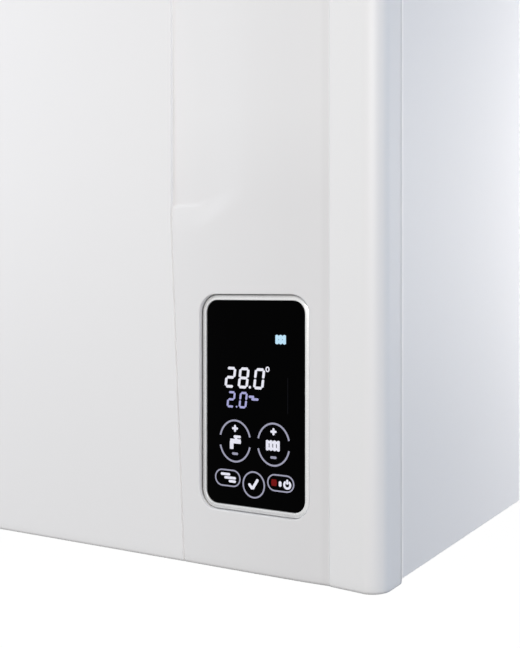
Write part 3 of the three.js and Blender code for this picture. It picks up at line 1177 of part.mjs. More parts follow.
function flowSensor() {
  const filling = lathe([
    [0, FLOOR_TOP + FIT], [FILL_R, FLOOR_TOP + FIT], [FILL_R, FLOOR_TOP + 6], [FILL_R - 2, FLOOR_TOP + 9],
    [FILL_R - 2, FILL_TOP - 4], [6, FILL_TOP], [0, FILL_TOP],
  ], 'z', [tailX(1), FILL_Y, 0], 12);
  const bridge = rod(6, FILL_Y, PIPE_Y - SENSOR_BORE - 2, 'y', [tailX(1), 0, SENSOR_LOW + SENSOR_H / 2], 10);
  return cut(
    join(rod(SENSOR_R, SENSOR_LOW, SENSOR_LOW + SENSOR_H, 'z', AT_SENSOR, 12), bridge, filling),
    rod(SENSOR_BORE, SENSOR_LOW - 1, SENSOR_LOW + SENSOR_H + 1, 'z', AT_SENSOR, 12),
    rod(4 + FIT, 0, FLOOR_TOP + 16, 'z', [tailX(1), FILL_Y, 0], 12),
  );
}

function flowTurbine() {
  const [low, high] = [SENSOR_LOW + 8, SENSOR_LOW + 26];
  const vanes = Array.from({ length: 5 }, (_, k) => upright(
    bladeOutline(2, SENSOR_BORE - RUN, 0.8, 1.4, k * 2 * Math.PI / 5), low, high, [tailX(1), PIPE_Y],
  ));
  return join(rod(3.5, low - 3, high + 3, 'z', AT_SENSOR, 12), ...vanes);
}

const coldPipe = () => pipe([
  [tailX(1), PIPE_Y, SENSOR_LOW + SENSOR_H + FIT], [tailX(1), PIPE_Y, COLD_IN_Z - 24],
  [30, PIPE_Y, COLD_IN_Z], [30, PLATE_FRONT - FIT, COLD_IN_Z],
], PIPE_R, { bend: 12 });

// Filling handle: stem through the floor, lobed knob below it.
function fillingKnob() {
  const at = [tailX(1), FILL_Y, 0];
  const lobes = Array.from({ length: 3 }, (_, k) => {
    const angle = k * 2 * Math.PI / 3;
    return rod(6, -18, -4, 'z', [at[0] + 9 * Math.cos(angle), at[1] + 9 * Math.sin(angle), 0], 10);
  });
  return join(rod(4, -5, FLOOR_TOP + 14, 'z', at, 12), rod(10, -18, -4, 'z', at, 14), ...lobes);
}

add('flow_pipe', flowPipe(), COPPER);
add('return_pipe', returnPipe(), COPPER);
add('heating_flow_tail', tail(FLOW_TAIL_X, DIVERTER_LOW - FIT), BRASS);
add('hot_water_pipe', hotWaterPipe(), COPPER);
add('cold_water_tail', tail(tailX(1), SENSOR_LOW - FIT), BRASS);
add('heating_return_tail', tail(RETURN_X, GROUP_LOW - FIT), BRASS);
add('flow_sensor', flowSensor(), BRASS);
add('flow_turbine', flowTurbine(), BLUE_PLASTIC);
add('cold_water_pipe', coldPipe(), COPPER);
add('filling_tap_knob', fillingKnob(), BLUE_PLASTIC);

// ---------------------------------------------------------------- gas
const GAS_VALVE_LOW = 196;
const GAS_VALVE_H = 76;
const GAS_HALF = 34;
const GAS_FRONT = -172;
const GAS_OUT_Z = GAS_VALVE_LOW + 44;
const GAS_OUT_Y = -150;

const gasPipe = () => join(
  tail(0, FLOOR_TOP + 16),
  rod(PIPE_R, FLOOR_TOP + 10, GAS_VALVE_LOW - FIT, 'z', [0, PIPE_Y, 0], 12),
);

function gasValve() {
  const back = PIPE_Y + 14;
  const body = block([-GAS_HALF, GAS_FRONT + 18, GAS_VALVE_LOW], [GAS_HALF, back, GAS_VALVE_LOW + GAS_VALVE_H]);
  const coils = [-16, 16].map((x) => rod(13, GAS_FRONT - 10, GAS_FRONT + 19, 'y', [x, 0, GAS_VALVE_LOW + 50], 16));
  const servo = rod(10, GAS_FRONT + 4, GAS_FRONT + 19, 'y', [0, 0, GAS_VALVE_LOW + 18], 12);
  const port = rod(PIPE_R + 3, -GAS_HALF - 8, -GAS_HALF + 2, 'x', [0, GAS_OUT_Y + 8, GAS_OUT_Z], 12);
  return join(body, ...coils, servo, port);
}

const gasFeedPipe = () => pipe([
  [-GAS_HALF - 8 - FIT, GAS_OUT_Y + 8, GAS_OUT_Z], [FAN_X, GAS_OUT_Y + 8, GAS_OUT_Z],
  [FAN_X, GAS_PORT_Y, GAS_OUT_Z + 90], [FAN_X, GAS_PORT_Y, VENTURI_FOOT - FIT],
], PIPE_R - 1, { bend: 20 });

add('gas_pipe', gasPipe(), COPPER);
add('gas_valve', gasValve(), ALUMINIUM);
add('gas_feed_pipe', gasFeedPipe(), COPPER);

// ---------------------------------------------------------------- condensate
const TRAP_LOW = FLOOR_TOP + FIT;
const TRAP_TOP = 150;
const trap = () => join(
  lathe([
    [0, TRAP_LOW], [13, TRAP_LOW], [13, TRAP_LOW + 16], [TRAP.r, TRAP_LOW + 22], [TRAP.r, TRAP_TOP - 14],
    [PIPE_R + 3, TRAP_TOP - 8], [PIPE_R + 3, TRAP_TOP], [0, TRAP_TOP],
  ], 'z', [TRAP.x, TRAP.y, 0], 12),
  ring(6, 9.5, -16, TRAP_LOW + 1, 'z', [TRAP.x, TRAP.y, 0], 12),
);
const trapHose = () => pipe([
  [DRUM_X, CONDENSATE_Y, STUB_FOOT - FIT], [DRUM_X, CONDENSATE_Y, STUB_FOOT - 36],
  [TRAP.x, TRAP.y, TRAP_TOP + 46], [TRAP.x, TRAP.y, TRAP_TOP + FIT],
], PIPE_R, { bend: 24 });

add('condensate_trap', trap(), PALE_PLASTIC);
add('condensate_hose', trapHose(), RUBBER);

export default boiler;
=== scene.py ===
"""Wall-hung combi boiler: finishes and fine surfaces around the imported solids. Metres, +Z up, wall at y = 0."""
import json
import math

import bmesh
import bpy
import numpy as np
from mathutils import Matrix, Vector


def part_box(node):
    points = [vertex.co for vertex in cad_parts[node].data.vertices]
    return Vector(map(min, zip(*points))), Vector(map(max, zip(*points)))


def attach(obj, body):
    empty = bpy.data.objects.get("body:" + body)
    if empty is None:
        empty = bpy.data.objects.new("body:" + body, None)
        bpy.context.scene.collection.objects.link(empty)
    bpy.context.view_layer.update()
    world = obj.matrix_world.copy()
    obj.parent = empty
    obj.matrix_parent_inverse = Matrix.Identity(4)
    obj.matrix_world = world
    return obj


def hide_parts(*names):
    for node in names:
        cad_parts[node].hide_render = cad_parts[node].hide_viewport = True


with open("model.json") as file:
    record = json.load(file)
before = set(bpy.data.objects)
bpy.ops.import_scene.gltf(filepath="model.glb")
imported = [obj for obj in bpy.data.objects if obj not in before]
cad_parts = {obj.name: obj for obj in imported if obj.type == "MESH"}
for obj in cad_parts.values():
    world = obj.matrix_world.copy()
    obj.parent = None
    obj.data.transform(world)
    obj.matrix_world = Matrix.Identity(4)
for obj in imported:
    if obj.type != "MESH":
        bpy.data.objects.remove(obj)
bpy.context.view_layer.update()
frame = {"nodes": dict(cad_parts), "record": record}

MM = 0.001
NODES = frame["nodes"]

# ------------------------------------------------------------------ places taken from the frame
COVER_LOW, COVER_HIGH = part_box("front_cover")
BEZEL_LOW, BEZEL_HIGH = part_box("display_bezel")
GLASS_LOW, GLASS_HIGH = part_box("touch_glass")
HALF = COVER_HIGH.x
WIDTH = 2 * HALF
FOOT = COVER_LOW.z
HEIGHT = COVER_HIGH.z - COVER_LOW.z
SPLIT_Y = COVER_HIGH.y

# ------------------------------------------------------------------ the cover's own sizes
# Places across run from the right side plane to the left, heights from the cover's foot.
CORNER_R = 13 * MM
RAIL_W = 37 * MM
RAIL_RISE = 2.6 * MM
RAIL_BULGE = 0.05 * MM
MAIN_Y = COVER_LOW.y + RAIL_RISE
CREASE_DEPTH = 0.6 * MM
CREASE_SHARE = 0.16                 # of the band's width
LEFT_CREASE_W = 14 * MM
BAND_CROWN = 0.35 * MM
SEAM_TOP_X = 157.3 * MM
SEAM_FOOT_X = 146.3 * MM
SEAM_BEND = 235 * MM
SEAM_HALF_W = 0.75 * MM
SEAM_DEPTH = 1.8 * MM
SEAM_OPENS = (-12 * MM, 4 * MM)     # from the fold: full depth below, none above
STEP_HALF_W = 0.5 * MM
SCOOP_DEPTH = 2.2 * MM
SCOOP_FLAT, SCOOP_W = 28 * MM, 62 * MM
SCOOP_TOP = 460 * MM
FOLD_Z = 241.5 * MM
FOLD_FLAT = 21 * MM
FOLD_SLOPE = 0.42
FOLD_SOFTENS = (12 * MM, 32 * MM)   # right of the seam
FILLET_H, FILLET_MIN = 21 * MM, 14 * MM
FILLET_FALL = 0.1
LINE_H = 1.6 * MM
LINE_SHARE = 0.42
EDGE_R = 2.6 * MM
SKIN = 1.2 * MM

# ------------------------------------------------------------------ the display's sizes
BEZEL_U, BEZEL_Z = 40.8 * MM, 70.85 * MM            # trim ring's half width and half height
BEZEL_R = 12 * MM
BEZEL_RIM = 3.5 * MM
DISPLAY = (HALF - 92.1 * MM, FOOT + 109.85 * MM)    # its middle
GLASS_FIT = 0.2 * MM
GLASS_U = BEZEL_U - BEZEL_RIM - GLASS_FIT
GLASS_Z = BEZEL_Z - BEZEL_RIM - GLASS_FIT
GLASS_R = BEZEL_R - BEZEL_RIM - GLASS_FIT
WINDOW_GAP = 0.9 * MM                               # on the left
CLOSE_GAP = 0.3 * MM                                # right, top and bottom
WINDOW_R = 12.9 * MM

# ------------------------------------------------------------------ camera, as in the photograph
FRAME_H = 648
SENSOR_H = 36.0
LENS_PX = 973.0
HORIZON_PX = 287.0
AZIMUTH = math.radians(30.7)
CORNER_TO_EYE = Vector((233.2, -538.7, 185.8)) * MM


def make_camera():
    data = bpy.data.cameras.new("view")
    data.sensor_fit = "VERTICAL"
    data.sensor_height = SENSOR_H
    data.lens = LENS_PX / FRAME_H * data.sensor_height
    data.shift_y = (HORIZON_PX - FRAME_H / 2) / FRAME_H
    data.clip_start = 0.01
    camera = bpy.data.objects.new("view", data)
    camera.location = Vector((HALF, MAIN_Y, FOOT)) + CORNER_TO_EYE
    camera.rotation_euler = (math.pi / 2, 0, AZIMUTH)
    bpy.context.scene.collection.objects.link(camera)
    bpy.context.scene.camera = camera


# ------------------------------------------------------------------ node helpers
def new_material(name):
    material = bpy.data.materials.new(name)
    material.use_nodes = True
    tree = material.node_tree
    tree.nodes.clear()
    out = tree.nodes.new("ShaderNodeOutputMaterial")
    shader = tree.nodes.new("ShaderNodeBsdfPrincipled")
    tree.links.new(shader.outputs[0], out.inputs[0])
    return material, tree, shader


def effect_group(name, inputs, outputs, build):
    """A shader node group with named sockets, whose inner nodes build makes."""
    group = bpy.data.node_groups.new(name, "ShaderNodeTree")
    for label, kind, value in inputs:
        socket = group.interface.new_socket(label, in_out="INPUT", socket_type=kind)
        socket.default_value = value
    for label, kind in outputs:
        group.interface.new_socket(label, in_out="OUTPUT", socket_type=kind)
    entry = group.nodes.new("NodeGroupInput")
    leave = group.nodes.new("NodeGroupOutput")
    build(group.nodes, group.links, entry.outputs, leave.inputs)
    return group


def feed(links, socket, value):
    """Link the socket to another one, or set its own value."""
    if hasattr(value, "links"):
        links.new(value, socket)
    else:
        socket.default_value = value


def noise(nodes, links, vector, scale, detail=3.0, rough=0.5):
    node = nodes.new("ShaderNodeTexNoise")
    node.inputs["Detail"].default_value = detail
    node.inputs["Roughness"].default_value = rough
    links.new(vector, node.inputs["Vector"])
    feed(links, node.inputs["Scale"], scale)
    return node.outputs["Fac"]


def reckon(nodes, links, operation, *values):
    """A Math node on sockets or numbers."""
    node = nodes.new("ShaderNodeMath")
    node.operation = operation
    for socket, value in zip(node.inputs, values):
        feed(links, socket, value)
    return node.outputs[0]


def ramp(nodes, links, value, low, high, to_low=0.0, to_high=1.0):
    node = nodes.new("ShaderNodeMapRange")
    for index, number in ((1, low), (2, high), (3, to_low), (4, to_high)):
        feed(links, node.inputs[index], number)
    links.new(value, node.inputs[0])
    return node.outputs[0]


def mix_colour(nodes, links, share, first, second):
    node = nodes.new("ShaderNodeMix")
    node.data_type = "RGBA"
    links.new(share, node.inputs[0])
    for index, colour in ((6, first), (7, second)):
        feed(links, node.inputs[index], colour if hasattr(colour, "links") else (*colour, 1))
    return node.outputs[2]


def bump(nodes, links, height, strength, distance):
    node = nodes.new("ShaderNodeBump")
    node.inputs["Distance"].default_value = distance
    feed(links, node.inputs["Strength"], strength)
    links.new(height, node.inputs["Height"])
    return node.outputs[0]


CONTRAST = (0.3, 0.7)               # the part of a noise that is stretched to the full range
BUMP_DEPTH = 0.06 * MM


def build_surface(nodes, links, given, result):
    """Two scales of mottling on one colour, roughness that follows them and a fine bump."""
    vector = given["Vector"]
    broad = noise(nodes, links, vector, given["Broad scale"])
    fine = noise(nodes, links, vector, given["Fine scale"], 4.0, 0.6)
    share = reckon(nodes, links, "MULTIPLY", ramp(nodes, links, broad, *CONTRAST), given["Variation"])
    links.new(mix_colour(nodes, links, share, given["Colour"], given["Second colour"]), result["Colour"])
    rough = reckon(nodes, links, "MULTIPLY_ADD", ramp(nodes, links, fine, *CONTRAST, -0.5, 0.5),
                   given["Roughness spread"], given["Roughness"])
    links.new(rough, result["Roughness"])
    links.new(bump(nodes, links, fine, given["Bump"], BUMP_DEPTH), result["Normal"])


SURFACE = effect_group(
    "mottled surface",
    [("Vector", "NodeSocketVector", (0, 0, 0)), ("Colour", "NodeSocketColor", (1, 1, 1, 1)),
     ("Second colour", "NodeSocketColor", (1, 1, 1, 1)), ("Variation", "NodeSocketFloat", 0.3),
     ("Broad scale", "NodeSocketFloat", 20.0), ("Fine scale", "NodeSocketFloat", 900.0),
     ("Roughness", "NodeSocketFloat", 0.4), ("Roughness spread", "NodeSocketFloat", 0.1),
     ("Bump", "NodeSocketFloat", 0.1)],
    [("Colour", "NodeSocketColor"), ("Roughness", "NodeSocketFloat"), ("Normal", "NodeSocketVector")],
    build_surface,
)


def object_place(tree):
    """The point's place on the object."""
    return tree.nodes.new("ShaderNodeTexCoord").outputs["Object"]


def finish(name, colour, second, variation, broad, fine, rough, spread, relief, metal=0.0, stretch=(1, 1, 1),
           **sockets):
    """A material from the mottled surface; stretch draws the mottling out, as brushing or drawing does."""
    material, tree, shader = new_material(name)
    where = object_place(tree)
    mapping = tree.nodes.new("ShaderNodeMapping")
    mapping.inputs["Scale"].default_value = stretch
    tree.links.new(where, mapping.inputs["Vector"])
    group = tree.nodes.new("ShaderNodeGroup")
    group.node_tree = SURFACE
    tree.links.new(mapping.outputs[0], group.inputs["Vector"])
    for label, value in (("Colour", (*colour, 1)), ("Second colour", (*second, 1)), ("Variation", variation),
                         ("Broad scale", broad), ("Fine scale", fine), ("Roughness", rough),
                         ("Roughness spread", spread), ("Bump", relief)):
        group.inputs[label].default_value = value
    tree.links.new(group.outputs["Colour"], shader.inputs["Base Color"])
    tree.links.new(group.outputs["Roughness"], shader.inputs["Roughness"])
    tree.links.new(group.outputs["Normal"], shader.inputs["Normal"])
    shader.inputs["Metallic"].default_value = metal
    for label, value in sockets.items():
        shader.inputs[label.replace("_", " ")].default_value = value
    return material


# Painted shade on the cover: how much of the greyer tone each place takes, standing in for shade on the band and
# the skirts, and over what width it comes in.
SHADE_EDGE = 0.2 * MM
SEAM_SHADE = 0.3
SEAM_SHADE_FADE = 60 * MM           # above the fold
SLOW_SHADE, SLOW_SHADE_W = 0.4, 90 * MM
STRIP_SHADE = 0.3
STRIP_NEAR, STRIP_FAR = 4 * MM, 7 * MM
SKIRT_SHADE = (2.5 * MM, 0.5 * MM)
BAND_PAINTED_SHADE = (0.7348, 0.72864, 0.74096)
SKIRT_PAINTED_SHADE = (0.76, 0.777, 0.812)
# Painted highlight along the side panel's front edge: its tone, and where it starts and where it is full.
EDGE_PAINTED_HIGHLIGHT = (0.88, 0.89, 0.91)
EDGE_LINE, EDGE_FULL = 3 * MM, 1.8 * MM


def build_band_painted_shade(nodes, links, given, result):
    """Painted shade on the band: how much greyer it is drawn, a step at the seam, a slow rise to the right of it,
    a last step in the strip beside the crease, and nothing beyond the crease. The side share, a cooler painted
    shade, is full on the skirts."""
    split = nodes.new("ShaderNodeSeparateXYZ")
    links.new(given["Vector"], split.inputs[0])
    x, z = split.outputs["X"], split.outputs["Z"]
    place = reckon(nodes, links, "MULTIPLY_ADD", x, -1.0, HALF)
    seam = ramp(nodes, links, z, FOOT, FOOT + SEAM_BEND, SEAM_FOOT_X, SEAM_TOP_X)
    beside = reckon(nodes, links, "MULTIPLY_ADD", place, -1.0, seam)
    step = ramp(nodes, links, beside, -SHADE_EDGE, SHADE_EDGE, 0.0, SEAM_SHADE)
    high = ramp(nodes, links, z, FOOT + FOLD_Z, FOOT + FOLD_Z + SEAM_SHADE_FADE, 1.0, 0.0)
    slow = ramp(nodes, links, beside, 0.0, SLOW_SHADE_W, 0.0, SLOW_SHADE)
    strip = ramp(nodes, links, place, RAIL_W + STRIP_FAR, RAIL_W + STRIP_NEAR, 0.0, STRIP_SHADE)
    inside = ramp(nodes, links, place, RAIL_W - SHADE_EDGE, RAIL_W + SHADE_EDGE)
    total = reckon(nodes, links, "MULTIPLY_ADD", step, high, slow)
    total = reckon(nodes, links, "MULTIPLY_ADD", total, 1.0, strip)
    links.new(reckon(nodes, links, "MULTIPLY_ADD", total, inside, 0.0), result["Share"])
    centre = reckon(nodes, links, "ABSOLUTE", x)
    links.new(ramp(nodes, links, centre, *(HALF - inset for inset in SKIRT_SHADE)), result["Side share"])


def repaint(material, shades):
    """Lay further tones over the paint's colour, each by its own share; they are painted shade and painted
    highlight.
    """
    tree = material.node_tree
    shader = next(node for node in tree.nodes if node.type == "BSDF_PRINCIPLED")
    paint = shader.inputs["Base Color"].links[0].from_socket
    for share, tone in shades:
        paint = mix_colour(tree.nodes, tree.links, share, paint, tone)
    tree.links.new(paint, shader.inputs["Base Color"])


def paint_cover_shade(material):
    """Painted shade: a greyer band and cooler, darker skirts."""
    tree = material.node_tree
    where = object_place(tree)
    group = tree.nodes.new("ShaderNodeGroup")
    group.node_tree = effect_group(
        "band painted shade mask", [("Vector", "NodeSocketVector", (0, 0, 0))],
        [("Share", "NodeSocketFloat"), ("Side share", "NodeSocketFloat")], build_band_painted_shade)
    tree.links.new(where, group.inputs["Vector"])
    repaint(material, [(group.outputs["Share"], BAND_PAINTED_SHADE), (group.outputs["Side share"], SKIRT_PAINTED_SHADE)])


def paint_edge_highlight(material):
    """Painted highlight: a lighter line along the side panel's front edge."""
    tree = material.node_tree
    where = object_place(tree)
    split = tree.nodes.new("ShaderNodeSeparateXYZ")
    tree.links.new(where, split.inputs[0])
    share = ramp(tree.nodes, tree.links, split.outputs["Y"], SPLIT_Y + EDGE_LINE, SPLIT_Y + EDGE_FULL)
    repaint(material, [(share, EDGE_PAINTED_HIGHLIGHT)])


def glow(name, colour):
    """A lit mark: its own light over a dark print."""
    material, tree, shader = new_material(name)
    cells = noise(tree.nodes, tree.links, object_place(tree), 900.0, 1.0)
    lit = mix_colour(tree.nodes, tree.links, ramp(tree.nodes, tree.links, cells, *CONTRAST),
                     colour, tuple(0.86 * c for c in colour))
    tree.links.new(lit, shader.inputs["Emission Color"])
    shader.inputs["Emission Strength"].default_value = 1.0
    shader.inputs["Base Color"].default_value = (0.003, 0.003, 0.003, 1)
    shader.inputs["Specular IOR Level"].default_value = 0.04
    shader.inputs["Roughness"].default_value = 0.3
    return material


# Each row: name, colour, second colour, variation, broad and fine scale, roughness, its spread, bump, metal.
WHITE = (0.5, 6.0, 1400.0, 0.46, 0.05, 0.035)
MOULDED = (0.5, 30.0, 1500.0)
COLOURED = (0.4, 30.0, 1500.0, 0.4, 0.08, 0.2)
FINISHES = {
    "white_paint": finish("white enamel", (0.845, 0.84, 0.85), (0.83, 0.825, 0.838), *WHITE),
    # The side panels' cooler, darker white is painted shade standing in for the bluish light on the sides.
    "side_paint_cool_shade": finish("white enamel with painted cool shade", (0.8, 0.812, 0.842), (0.784, 0.798, 0.83), *WHITE),
    "zinc_sheet": finish("zinc sheet", (0.62, 0.64, 0.66), (0.48, 0.5, 0.52),
                         0.8, 90.0, 400.0, 0.42, 0.16, 0.05, 0.85),
    "stainless": finish("brushed stainless", (0.62, 0.62, 0.61), (0.5, 0.5, 0.49),
                        0.6, 30.0, 900.0, 0.3, 0.14, 0.12, 1.0, (1, 0.06, 1)),
    "cast_aluminium": finish("cast aluminium", (0.58, 0.585, 0.59), (0.46, 0.465, 0.47),
                             0.6, 60.0, 1100.0, 0.48, 0.14, 0.5, 0.9),
    "copper": finish("drawn copper", (0.72, 0.36, 0.22), (0.5, 0.24, 0.15),
                     0.7, 45.0, 700.0, 0.3, 0.16, 0.06, 1.0),
    "brass": finish("machined brass", (0.7, 0.52, 0.24), (0.55, 0.4, 0.19),
                    0.6, 60.0, 900.0, 0.28, 0.12, 0.1, 1.0),
    "grey_plastic": finish("grey moulding", (0.17, 0.18, 0.19), (0.14, 0.15, 0.16),
                           0.5, 30.0, 1600.0, 0.55, 0.08, 0.4),
    "black_plastic": finish("black moulding", (0.022, 0.022, 0.024), (0.03, 0.03, 0.032),
                            *MOULDED, 0.5, 0.1, 0.35),
    "pale_plastic": finish("pale moulding", (0.7, 0.7, 0.68), (0.64, 0.64, 0.62),
                           *MOULDED, 0.45, 0.08, 0.25),
    "board": finish("solder mask", (0.015, 0.11, 0.05), (0.01, 0.07, 0.03), 0.6, 220.0, 1300.0, 0.35, 0.1, 0.3),
    "silver_trim": finish("silver trim", (0.77, 0.775, 0.78), (0.72, 0.725, 0.735),
                          0.4, 60.0, 2200.0, 0.26, 0.06, 0.06, 0.2),
    "display_glass": finish("black glass", (0.0004, 0.0004, 0.0005), (0.0007, 0.0007, 0.0008),
                            0.4, 40.0, 300.0, 0.1, 0.02, 0.0, Specular_IOR_Level=0.012),
    "red_paint": finish("red enamel", (0.42, 0.03, 0.02), (0.34, 0.025, 0.018),
                        0.5, 14.0, 900.0, 0.32, 0.08, 0.15),
    "red_plastic": finish("red moulding", (0.5, 0.02, 0.015), (0.42, 0.018, 0.014), *COLOURED),
    "blue_plastic": finish("blue moulding", (0.02, 0.09, 0.36), (0.018, 0.075, 0.3), *COLOURED),
    "rubber": finish("black rubber", (0.02, 0.02, 0.02), (0.032, 0.032, 0.031),
                     0.7, 60.0, 1200.0, 0.75, 0.1, 0.4),
    "silicone": finish("red silicone", (0.3, 0.06, 0.035), (0.24, 0.05, 0.03),
                       0.5, 60.0, 1200.0, 0.6, 0.1, 0.25),
}
# Painted shade on the cover: a greyer band and cooler, darker skirts.
paint_cover_shade(FINISHES["white_paint"])
# Painted highlight along the side panels' front edges.
paint_edge_highlight(FINISHES["side_paint_cool_shade"])
SLOT_OF = {row["node"]: row["material_slot"] for row in frame["record"]["subparts"]}
# The side panels take the white enamel with painted cool shade.
SLOT_OF["side_panel_left"] = SLOT_OF["side_panel_right"] = "side_paint_cool_shade"


# ------------------------------------------------------------------ mesh helpers
def mesh_object(name, vertices, faces, slot, smooth=True, material=None):
    mesh = bpy.data.meshes.new(name)
    mesh.from_pydata([tuple(v) for v in vertices], [], faces)
    mesh.polygons.foreach_set("use_smooth", [smooth] * len(mesh.polygons))
    mesh.materials.append(material or FINISHES[slot])
    piece = bpy.data.objects.new(name, mesh)
    bpy.context.scene.collection.objects.link(piece)
    return piece


def join(first, second, closed=True):
    """Quads between two rows of point numbers of the same length, round to the start where closed."""
    if closed:
        first, second = np.append(first, first[0]), np.append(second, second[0])
    return np.stack([first[:-1], first[1:], second[1:], second[:-1]], axis=1).tolist()


SAME_PLACE = 0.02 * MM
FINE_PLACE = 0.004 * MM


def merge_doubles(piece, distance=SAME_PLACE):
    work = bmesh.new()
    work.from_mesh(piece.data)
    bmesh.ops.remove_doubles(work, verts=work.verts, dist=distance)
    bmesh.ops.recalc_face_normals(work, faces=work.faces)
    work.to_mesh(piece.data)
    work.free()


# ------------------------------------------------------------------ front cover
def ease(low, high, value):
    """Smoothstep: 0 below low, 1 above high, 3t^2 - 2t^3 between."""
    t = np.clip((value - low) / (high - low), 0, 1)
    return t * t * (3 - 2 * t)


def seam_place(z):
    """Distance of the seam from the right side plane: level above the bend, slanting to the foot below it."""
    return np.where(z >= SEAM_BEND, SEAM_TOP_X, SEAM_FOOT_X + (SEAM_TOP_X - SEAM_FOOT_X) * z / SEAM_BEND)


def scoop_depth(beside, z):
    """Depth of the scoop at a distance right of the seam and a height. Across: a flat bottom that rises
    smoothly to the band. Up: a fillet that climbs as the square of its height, with a short steep line at the
    fold, and as a smoothstep where the fold rises; then a square-root fade towards the top."""
    across = 1 - ease(SCOOP_FLAT, SCOOP_W, beside)
    fold = FOLD_Z + FOLD_SLOPE * np.maximum(0, beside - FOLD_FLAT)
    fillet = np.maximum(FILLET_MIN, FILLET_H - FILLET_FALL * np.maximum(0, beside))
    climb = np.clip((z - fold + fillet) / fillet, 0, 1)
    soft = ease(*FOLD_SOFTENS, beside)
    line = LINE_SHARE * (1 - soft)
    slope = climb ** 2 + (ease(0, 1, climb) - climb ** 2) * soft
    rise = (1 - line) * slope + line * ease(-LINE_H, 0, z - fold)
    fade = np.clip((SCOOP_TOP - z) / (SCOOP_TOP - FOLD_Z), 0, 1)
    return SCOOP_DEPTH * across * rise * np.sqrt(fade)


def cover_relief(u, z):
    """How far the face stands before the main face, at a distance u from the right side plane and a height z.
    Rounded corner: a quarter circle. Rail: a straight fall to the crease with a half-sine bulge. Band: a
    half-sine crown less a quick dip before the crease, less the scoop. Seam: a narrow cosine groove that opens
    below the fold. Main face: level, with a slight dip at the left crease."""
    side = np.minimum(u, WIDTH - u)
    corner = RAIL_RISE - CORNER_R * (1 - np.sqrt(np.clip(1 - np.clip(1 - side / CORNER_R, 0, 1) ** 2, 0, 1)))
    share = np.clip((side - CORNER_R) / (RAIL_W - CORNER_R), 0, 1)
    rail = RAIL_RISE * (1 - share) + RAIL_BULGE * np.sin(share * math.pi)
    seam = seam_place(z)
    beside = seam - u
    part = np.clip((u - RAIL_W) / (seam - RAIL_W), 0, 1)
    band = BAND_CROWN * np.sin(math.pi * part) - CREASE_DEPTH * (1 - ease(0, CREASE_SHARE, part))
    band = band - scoop_depth(beside, z)
    main = -0.5 * CREASE_DEPTH * (1 - ease(0, LEFT_CREASE_W, WIDTH - RAIL_W - u))
    face = main + (band - main) * ease(-STEP_HALF_W, STEP_HALF_W, beside)
    groove = np.cos(np.clip(np.abs(beside) / SEAM_HALF_W, 0, 1) * math.pi / 2)
    open_share = 1 - ease(FOLD_Z + SEAM_OPENS[0], FOLD_Z + SEAM_OPENS[1], z)
    face = face - SEAM_DEPTH * groove * open_share
    flat = np.where(side < RAIL_W, rail, face)
    return np.where(side < CORNER_R, corner, flat)


def spaced(stops, gaps):
    """Places from each stop to the next at about the given gap, with every stop kept."""
    runs = [np.linspace(low, high, max(1, round((high - low) / gap)) + 1)[:-1]
            for low, high, gap in zip(stops[:-1], stops[1:], gaps)]
    return np.append(np.concatenate(runs), stops[-1])


def window_outline(u_columns, z_rows):
    """Points of the window's rounded rectangle that face the rim points of a rectangular block of cells, one
    for one: each straight run is stretched over its side, and each corner of the block meets the middle of its
    arc."""
    low_u, high_u = HALF - DISPLAY[0] - BEZEL_U - CLOSE_GAP, HALF - DISPLAY[0] + BEZEL_U + WINDOW_GAP
    low_z, high_z = DISPLAY[1] - FOOT - BEZEL_Z - CLOSE_GAP, DISPLAY[1] - FOOT + BEZEL_Z + CLOSE_GAP
    middle = np.array([(low_u + high_u) / 2, (low_z + high_z) / 2])
    half = np.array([(high_u - low_u) / 2, (high_z - low_z) / 2])

    def quarter(count_u, count_z):
        """Outline from the right middle up to the arc's middle, and from the top middle out to it."""
        arc = WINDOW_R * math.pi / 4
        rise, run = half[1] - WINDOW_R, half[0] - WINDOW_R
        length = np.linspace(0, rise + arc, count_z + 1)
        turn = np.clip((length - rise) / WINDOW_R, 0, None)
        up = np.stack([run + WINDOW_R * np.cos(turn),
                       np.minimum(length, rise) + WINDOW_R * np.sin(turn)], axis=1)
        length = np.linspace(0, run + arc, count_u + 1)
        turn = np.clip((length - run) / WINDOW_R, 0, None)
        side = np.stack([np.minimum(length, run) + WINDOW_R * np.sin(turn),
                         rise + WINDOW_R * np.cos(turn)], axis=1)
        return up, side

    up, side = quarter(u_columns // 2, z_rows // 2)
    right = np.concatenate([(up * [1, -1])[::-1], up[1:]])
    top = np.concatenate([side[::-1][:-1], side * [-1, 1]])
    left = -right
    bottom = -top
    ring = np.concatenate([right[:-1], top[:-1], left[:-1], bottom[:-1]])
    return ring + middle


def block_rim(first_u, last_u, first_z, last_z):
    """Column and row numbers round a block of cells, from its low-z high-u corner, counter-clockwise."""
    across = np.arange(first_u, last_u + 1)
    up = np.arange(first_z, last_z + 1)
    rim = [(last_u, k) for k in up[:-1]] + [(k, last_z) for k in across[:0:-1]]
    return rim + [(first_u, k) for k in up[:0:-1]] + [(k, first_z) for k in across[:-1]]


